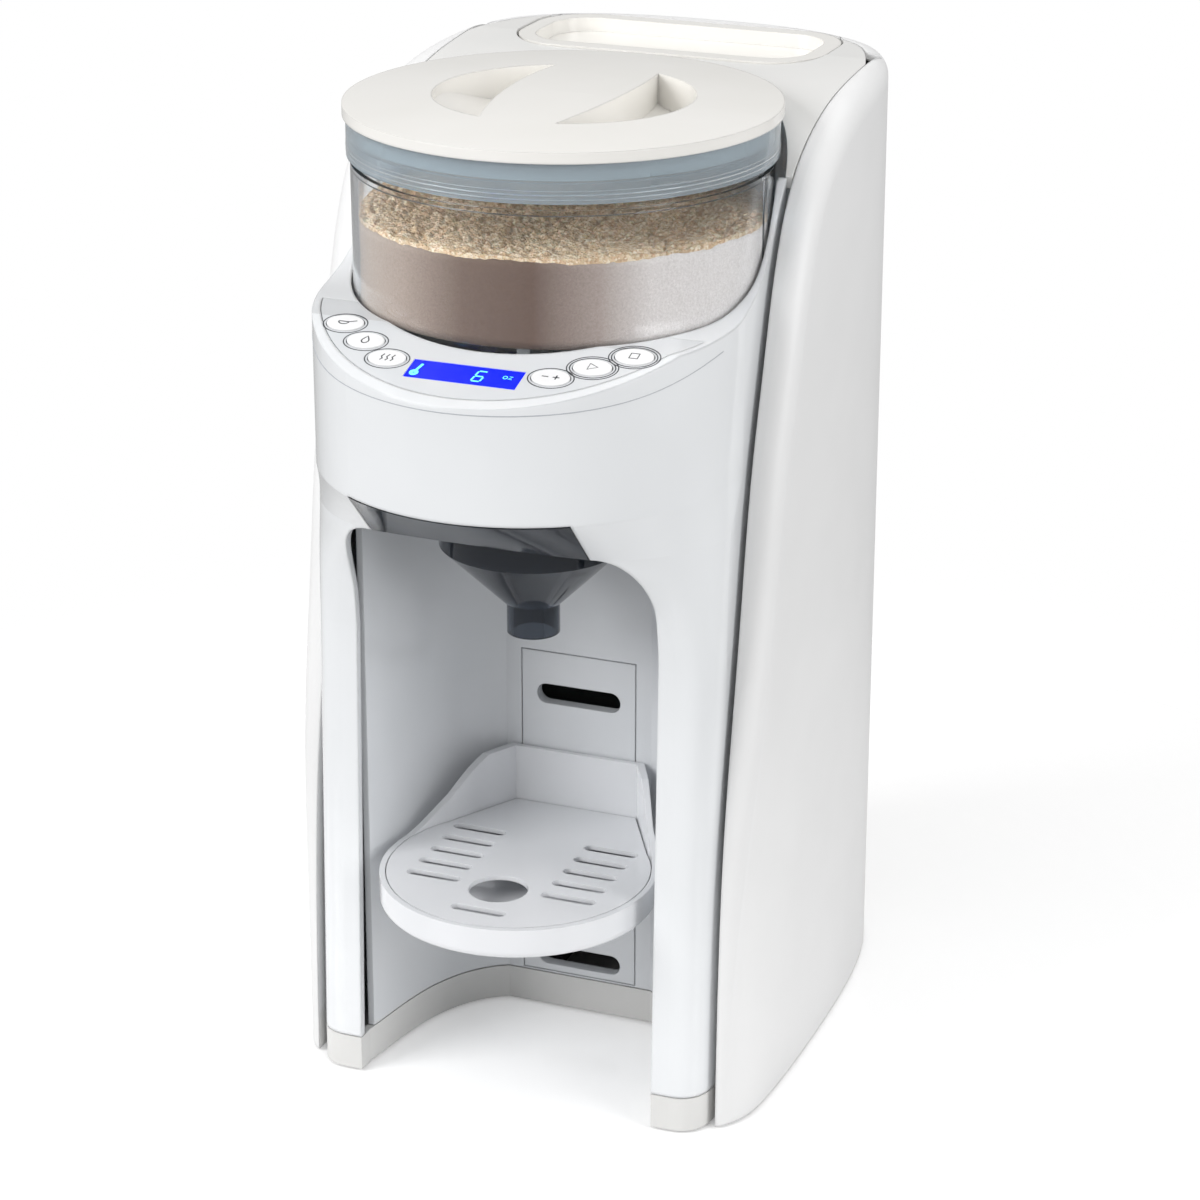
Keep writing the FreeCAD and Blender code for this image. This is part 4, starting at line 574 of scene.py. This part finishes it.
class BFM_OT_stage(Operator):
    """Adds the pale floor, the soft studio light and the camera at the photograph's angle"""
    bl_idname = "bfm.stage"
    bl_label = "Stage and camera"

    def execute(self, context):
        values = settings()
        half = values.floor_half_width
        mesh = bpy.data.meshes.new("studio_floor")
        mesh.from_pydata([(-half, -half, 0), (half, -half, 0), (half, half, 0), (-half, half, 0)],
                         [], [(0, 1, 2, 3)])
        floor = bpy.data.objects.new("studio_floor", mesh)
        context.scene.collection.objects.link(floor)
        # Matte-glossy white acrylic sheet: a faint, blurred reflection of the foot
        material, tree, shader = new_material("white_acrylic_sheet")
        shader.inputs["Base Color"].default_value = linear("#F6F6F6")
        shader.inputs["Specular IOR Level"].default_value = 0.4
        place = mm_coordinates(tree)
        tree.links.new(spread(tree, noise(tree, place, 40.0), 0.1, 0.16), shader.inputs["Roughness"])
        shader.inputs["Emission Color"].default_value = (1.0, 1.0, 1.0, 1.0)
        rays = add(tree, "ShaderNodeLightPath")
        tree.links.new(spread(tree, rays.outputs["Is Camera Ray"], 0.0, values.floor_glow),
                       shader.inputs["Emission Strength"])
        reach = add(tree, "ShaderNodeVectorMath", {0: place}, operation="LENGTH")
        fade = add(tree, "ShaderNodeMapRange", {"Value": reach.outputs["Value"]},
                   interpolation_type="SMOOTHSTEP")
        fade.inputs["From Min"].default_value = values.floor_clear
        fade.inputs["From Max"].default_value = values.floor_gone
        clear = add(tree, "ShaderNodeBsdfTransparent")
        both = add(tree, "ShaderNodeMixShader", {0: fade.outputs["Result"], 1: shader.outputs[0],
                                                2: clear.outputs[0]})
        tree.links.new(both.outputs[0], tree.nodes["Material Output"].inputs["Surface"])
        mesh.materials.append(material)

        # The room lights the piece evenly, and the camera sees it as plain white
        world = bpy.data.worlds.new("studio_room")
        context.scene.world = world
        world.use_nodes = True
        tree = world.node_tree
        tree.nodes.clear()
        output = add(tree, "ShaderNodeOutputWorld")
        room = add(tree, "ShaderNodeBackground")
        room.inputs["Color"].default_value = (1.0, 1.0, 1.0, 1.0)
        room.inputs["Strength"].default_value = values.world_light
        seen = add(tree, "ShaderNodeBackground")
        seen.inputs["Color"].default_value = (1.0, 1.0, 1.0, 1.0)
        seen.inputs["Strength"].default_value = 1.0
        rays = add(tree, "ShaderNodeLightPath")
        both = add(tree, "ShaderNodeMixShader", {"Fac": rays.outputs["Is Camera Ray"], 1: room.outputs[0],
                                                2: seen.outputs[0]})
        tree.links.new(both.outputs[0], output.inputs["Surface"])

        for name, place, size, power in SOFTBOXES:
            area_light(name, place, LIGHT_TARGET, size, getattr(values, power))

        data = bpy.data.cameras.new("photo_camera")
        data.sensor_width = SENSOR_WIDTH
        data.lens = values.lens
        data.shift_y = CAMERA_SHIFT
        data.clip_start = CAMERA_NEAR
        camera = bpy.data.objects.new("photo_camera", data)
        camera.location = CAMERA_PLACE
        turn, pitch = math.radians(CAMERA_TURN_DEGREES), math.radians(CAMERA_PITCH_DEGREES)
        look = Vector((-math.sin(turn) * math.cos(pitch), math.cos(turn) * math.cos(pitch), -math.sin(pitch)))
        camera.rotation_euler = look.to_track_quat("-Z", "Y").to_euler()
        context.scene.collection.objects.link(camera)
        context.scene.camera = camera
        context.scene.view_settings.view_transform = "Standard"
        return {"FINISHED"}


class BFM_OT_cad_finish(Operator):
    """Gives every CAD node its procedural material"""
    bl_idname = "bfm.cad_finish"
    bl_label = "CAD finishes"

    def execute(self, context):
        make_materials()
        for name in NODES:
            dress(name)
        return {"FINISHED"}


# The powder's top: depth of the bowl and of its wave, height and width of the clumps, and the crumbs of two
# sizes with their heights. Near the wall, clumps and crumbs fade over RIM_FADE
DISH_DEPTH, DISH_WAVE = 4.4, 1.2
CLUMP_HEIGHT, CLUMP_WIDTH, CLUMP_SEED = 3.4, 15.0, 3
LARGE_CRUMB, LARGE_CRUMB_HEIGHT, LARGE_CRUMB_SEED = 3.4, 1.7, 5
SMALL_CRUMB, SMALL_CRUMB_HEIGHT, SMALL_CRUMB_SEED = 2.0, 1.1, 7
RIM_FADE, CRUMB_RINGS = 4.0, 150
# The crumbs' bed lies this far under the dish, their underside this far under the level
CRUMB_BED, CRUMB_UNDERSIDE = 1.6, 12.0
# Clearance of the crumbs from the CAD's cylinder and from its level
WALL_GAP, LEVEL_GAP = 0.1, 0.05
# The packed body: its rim's drop under the level, the two waves of the rim, and its depth under the dish
RIM_DROP, SLOW_RIM_WAVE, QUICK_RIM_WAVE, PACKED_DEPTH = 2.6, 1.3, 0.7, 6.5


class BFM_OT_powder(Operator):
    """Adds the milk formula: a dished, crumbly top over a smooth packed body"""
    bl_idname = "bfm.powder"
    bl_label = "Milk formula"

    def execute(self, context):
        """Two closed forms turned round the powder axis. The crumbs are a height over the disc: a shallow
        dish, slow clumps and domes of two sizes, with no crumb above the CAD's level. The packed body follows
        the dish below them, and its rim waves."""
        low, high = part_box("powder_fill")
        floor = low[2] / MM
        level = high[2] / MM
        radius = (high[0] - low[0]) / 2 / MM
        sides = settings().powder_sides
        angle = 2 * math.pi * np.arange(sides) / sides
        turn = np.stack([np.cos(angle), np.sin(angle)], -1)

        def turned(radii, heights):
            """Rings of points: a radius for each ring, and heights that fit the grid of rings and sides."""
            rows = np.empty((len(radii), sides, 3))
            rows[..., :2] = np.asarray(radii)[:, None, None] * turn
            rows[..., 2] = heights
            return rows

        def dish(share):
            """Height at a share of the radius: a bowl, and a slow wave that fades at the middle and rim."""
            wave = DISH_WAVE * np.cos(angle * 2 + 0.6) * (share - share ** 3)
            return level - DISH_DEPTH * (1 - share ** 2) - wave

        crumb_radius = radius - WALL_GAP
        radii = np.concatenate([np.linspace(POLE_RADIUS, crumb_radius - 0.7, CRUMB_RINGS),
                                [crumb_radius - 0.2, crumb_radius]])
        r = radii[:, None] * np.ones(sides)
        x, y = r * np.cos(angle), r * np.sin(angle)
        fade = np.clip((radius - r) / RIM_FADE, 0.0, 1.0)
        clumps = CLUMP_HEIGHT * (value_noise(x, y, CLUMP_WIDTH, CLUMP_SEED) - 0.5)
        heights = dish(r / radius) - CRUMB_BED + clumps * fade
        large = LARGE_CRUMB_HEIGHT * crumb_heights(x, y, LARGE_CRUMB, LARGE_CRUMB_SEED)
        # The small crumbs read the lattice elsewhere, so that their rows don't follow the large ones
        small = SMALL_CRUMB_HEIGHT * crumb_heights(x + 9.1, y, SMALL_CRUMB, SMALL_CRUMB_SEED)
        heights += (large + small) * (0.4 + 0.6 * fade)
        heights = np.minimum(heights, level - LEVEL_GAP)
        top = turned(radii, heights)
        under = turned(np.linspace(crumb_radius, POLE_RADIUS, 6), level - CRUMB_UNDERSIDE)
        rows = np.concatenate([top, under])
        rows[..., 1] += POWDER_AXIS_Y
        crumbs = solid("powder_crumbs", rows.reshape(-1, 3), tube_faces(len(rows), sides),
                       MATERIALS["powder"], "container")
        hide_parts("powder_fill")

        # The rim on the wall: a slow wave and a quick one round the turn, read along one row of the lattice
        rim = level - RIM_DROP + SLOW_RIM_WAVE * (value_noise(angle * 30.0, angle * 0.0, 6.0, 11) - 0.5)
        rim += QUICK_RIM_WAVE * (value_noise(angle * 60.0, angle * 0.0 + 3.0, 1.5, 13) - 0.5)
        inner_radii = np.linspace(POLE_RADIUS, radius - 0.6, 24)
        inside = turned(inner_radii, dish(inner_radii[:, None] / radius) - PACKED_DEPTH)
        lip = turned([radius - 0.25, radius], rim)
        wall = turned(np.full(10, radius), np.linspace(level - 5.0, floor, 10)[:, None])
        bottom = turned(np.linspace(radius - 4.0, POLE_RADIUS, 6), floor)
        rows = np.concatenate([inside, lip, wall, bottom])
        rows[..., 1] += POWDER_AXIS_Y
        body = solid("powder_packed", rows.reshape(-1, 3), tube_faces(len(rows), sides),
                     MATERIALS["powder_packed"], "container")
        return {"FINISHED"}


class BFM_OT_collar_steps(Operator):
    """Adds the fine step lines round the lower half of the collar"""
    bl_idname = "bfm.collar_steps"
    bl_label = "Collar step lines"

    def execute(self, context):
        """Each line is a thin half-round bead: a small circle carried round the powder axis on the collar's
        outer face, set in by its own radius so that about half of it shows."""
        low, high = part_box("lid_collar")
        radius = (high[0] - low[0]) / 2 / MM
        foot = low[2] / MM
        steps, sides = 260, 8
        angle = 2 * math.pi * np.arange(steps) / steps
        around = 2 * math.pi * np.arange(sides) / sides
        shapes = []
        for rise, bead in COLLAR_STEPS:
            reach = radius - 0.6 * bead + bead * np.cos(around)
            rows = np.stack([np.outer(np.cos(angle), reach),
                             np.outer(np.sin(angle), reach) + POWDER_AXIS_Y,
                             np.tile(foot + rise + bead * np.sin(around), (steps, 1))], -1)
            shapes.append((rows.reshape(-1, 3), tube_faces(steps, sides, True)))
        piece = solid("collar_step_lines", *gather(shapes), MATERIALS["smoke_collar"], "collar")
        return {"FINISHED"}


class BFM_OT_key_marks(Operator):
    """Adds the printed rings round the keys and one plain symbol on each key"""
    bl_idname = "bfm.key_marks"
    bl_label = "Key rings and symbols"

    def execute(self, context):
        """Rings are ellipses drawn as strokes; symbols are short strokes from circles, arcs and lines."""
        ink = MATERIALS["print_ink"]
        wide, deep = BUTTON_HALF
        rings = []
        for index, (x, y) in enumerate(BUTTON_PLACES):
            for gap in SETTING_RING_GAPS if index < SETTING_KEYS else RUN_RING_GAPS:
                points, faces = stroke(oval_points(wide + gap, deep + gap), RING_WIDTH, *RING_HEIGHTS, True)
                rings.append((on_panel(points, x, y), faces))
        solid("key_rings", *gather(rings), ink, "base", False)
        # In mm from the key's middle: a scoop, a drop, steam, minus and plus, a triangle, a square
        drop = [(0.0, 2.3), (0.75, 1.0), (1.25, 0.0), (1.3, -0.7), (0.8, -1.6),
                (0.0, -1.95), (-0.8, -1.6), (-1.3, -0.7), (-1.25, 0.0), (-0.75, 1.0)]
        bowl = oval_points(1.9, 1.5, 16, 0.5, 0.5) + (-0.6, 0.3)
        symbols = [
            [(bowl, False), ([(-2.5, 0.35), (1.3, 0.35), (4.0, 1.4)], False)],
            [(drop, True)],
            [([(s, -1.9), (s + 0.6, -0.9), (s - 0.1, 0.3), (s + 0.5, 1.8)], False) for s in (-2.0, 0.0, 2.0)],
            [([(-3.2, 0.0), (-0.8, 0.0)], False), ([(0.8, 0.0), (3.2, 0.0)], False),
             ([(2.0, -1.2), (2.0, 1.2)], False)],
            [([(-1.3, -1.8), (2.0, 0.0), (-1.3, 1.8)], True)],
            [([(-1.5, -1.5), (1.5, -1.5), (1.5, 1.5), (-1.5, 1.5)], True)],
        ]
        for body, (x, y), strokes in zip(BUTTON_BODIES, BUTTON_PLACES, symbols):
            shapes = []
            for points, closed in strokes:
                flat, faces = stroke(points, SYMBOL_WIDTH, *SYMBOL_HEIGHTS, closed)
                shapes.append((on_panel(flat, x, y), faces))
            piece = solid("symbol_" + body, *gather(shapes), ink, body, False)
        return {"FINISHED"}


class BFM_OT_display_marks(Operator):
    """Adds the lit figure, the unit and the thermometer on the display"""
    bl_idname = "bfm.display_marks"
    bl_label = "Display figures"

    def execute(self, context):
        """A seven-segment figure, each segment a short slanted stroke; the small marks are strokes too."""
        slant = 0.14
        figure_x, segment_width = 5.5, 0.62
        # The lit segments of the figure, as on a seven-segment display; only the upper right one is dark
        segments = [((-1.4, 3.0), (1.4, 3.0)), ((1.6, -0.3), (1.6, -2.7)), ((1.4, -3.0), (-1.4, -3.0)),
                    ((-1.6, -2.7), (-1.6, -0.3)), ((-1.6, 0.3), (-1.6, 2.7)), ((-1.4, 0.0), (1.4, 0.0))]
        shapes = []
        for segment in segments:
            line = [(px + slant * py + figure_x, py) for px, py in segment]
            shapes.append(stroke(line, segment_width, *FIGURE_HEIGHTS))
        # The unit is a small ring and a slanted stroke; the thermometer is a bulb and a stem
        unit = oval_points(0.75, 0.8, 20) + (14.6, 1.1)
        shapes.append(stroke(unit, 0.28, *FIGURE_HEIGHTS, True))
        shapes.append(stroke([(15.9, 1.9), (17.2, 1.9), (15.9, 0.3), (17.2, 0.3)], 0.26, *FIGURE_HEIGHTS))
        shapes.append(stroke([(-17.6, -1.0), (-16.6, 3.2)], 1.0, *FIGURE_HEIGHTS))
        shapes.append(stroke(oval_points(1.0, 1.0, 24) + (-17.8, -2.2), 1.3, *FIGURE_HEIGHTS, True))
        placed = [(on_panel(points - (0.0, 0.0, FIGURE_DEPTH), 0.0, DISPLAY_Y), faces)
                  for points, faces in shapes]
        piece = solid("display_figures", *gather(placed), MATERIALS["display_cyan"], "base", False)
        return {"FINISHED"}


class BFM_OT_bezel_seam(Operator):
    """Adds the fine parting line that runs round the head under the key plate's rim"""
    bl_idname = "bfm.bezel_seam"
    bl_label = "Head parting line"

    def execute(self, context):
        """A thin round bead along the head's ellipse. Its height climbs with the square of the way out from
        the middle, and quickly at the ends; each ring stands along the ellipse's normal, sunk a little."""
        steps, sides = 220, 8
        angle = np.linspace(-0.5, 0.5, steps) * math.radians(SEAM_ARC_DEGREES) - math.pi / 2
        x, y = SEAM_HALF_WIDTH * np.cos(angle), SEAM_AXIS_Y + SEAM_HALF_DEPTH * np.sin(angle)
        share = np.abs(x) / SEAM_HALF_WIDTH
        z = SEAM_FRONT_Z + SEAM_CLIMB * share ** 2 + SEAM_END_CLIMB * share ** 7
        around = 2 * math.pi * np.arange(sides) / sides
        nx, ny = np.cos(angle) / SEAM_HALF_WIDTH, np.sin(angle) / SEAM_HALF_DEPTH
        size = np.hypot(nx, ny)
        out = SEAM_BEAD * np.cos(around) - SEAM_SINK
        rows = np.stack([x[:, None] + (nx / size)[:, None] * out, y[:, None] + (ny / size)[:, None] * out,
                         z[:, None] + SEAM_BEAD * np.sin(around)], -1)
        piece = solid("head_parting_line", rows.reshape(-1, 3), tube_faces(steps, sides),
                      MATERIALS["seam_grey"], "base")
        return {"FINISHED"}


class BFM_PT_panel(Panel):
    """Lists the pieces"""
    bl_idname = "BFM_PT_panel"
    bl_label = "Formula Maker"
    bl_space_type = "VIEW_3D"
    bl_region_type = "UI"
    bl_category = "Formula Maker"

    def draw(self, context):
        for operator in OPERATORS:
            self.layout.operator(operator.bl_idname)


OPERATORS = [BFM_OT_cad_finish, BFM_OT_powder, BFM_OT_collar_steps, BFM_OT_key_marks, BFM_OT_display_marks,
             BFM_OT_bezel_seam, BFM_OT_stage]
CLASSES = [BFM_SceneSettings] + OPERATORS + [BFM_PT_panel]


def register():
    """Registers the classes and puts the settings on the scene."""
    for item in CLASSES:
        bpy.utils.register_class(item)
    bpy.types.Scene.bfm_settings = PointerProperty(type=BFM_SceneSettings)


def unregister():
    """Takes the settings off the scene and unregisters the classes."""
    del bpy.types.Scene.bfm_settings
    for item in reversed(CLASSES):
        bpy.utils.unregister_class(item)


def main():
    """Builds every piece in order."""
    register()
    for operator in OPERATORS:
        getattr(bpy.ops.bfm, operator.bl_idname.split(".")[1])()


if __name__ == "__main__":
    main()
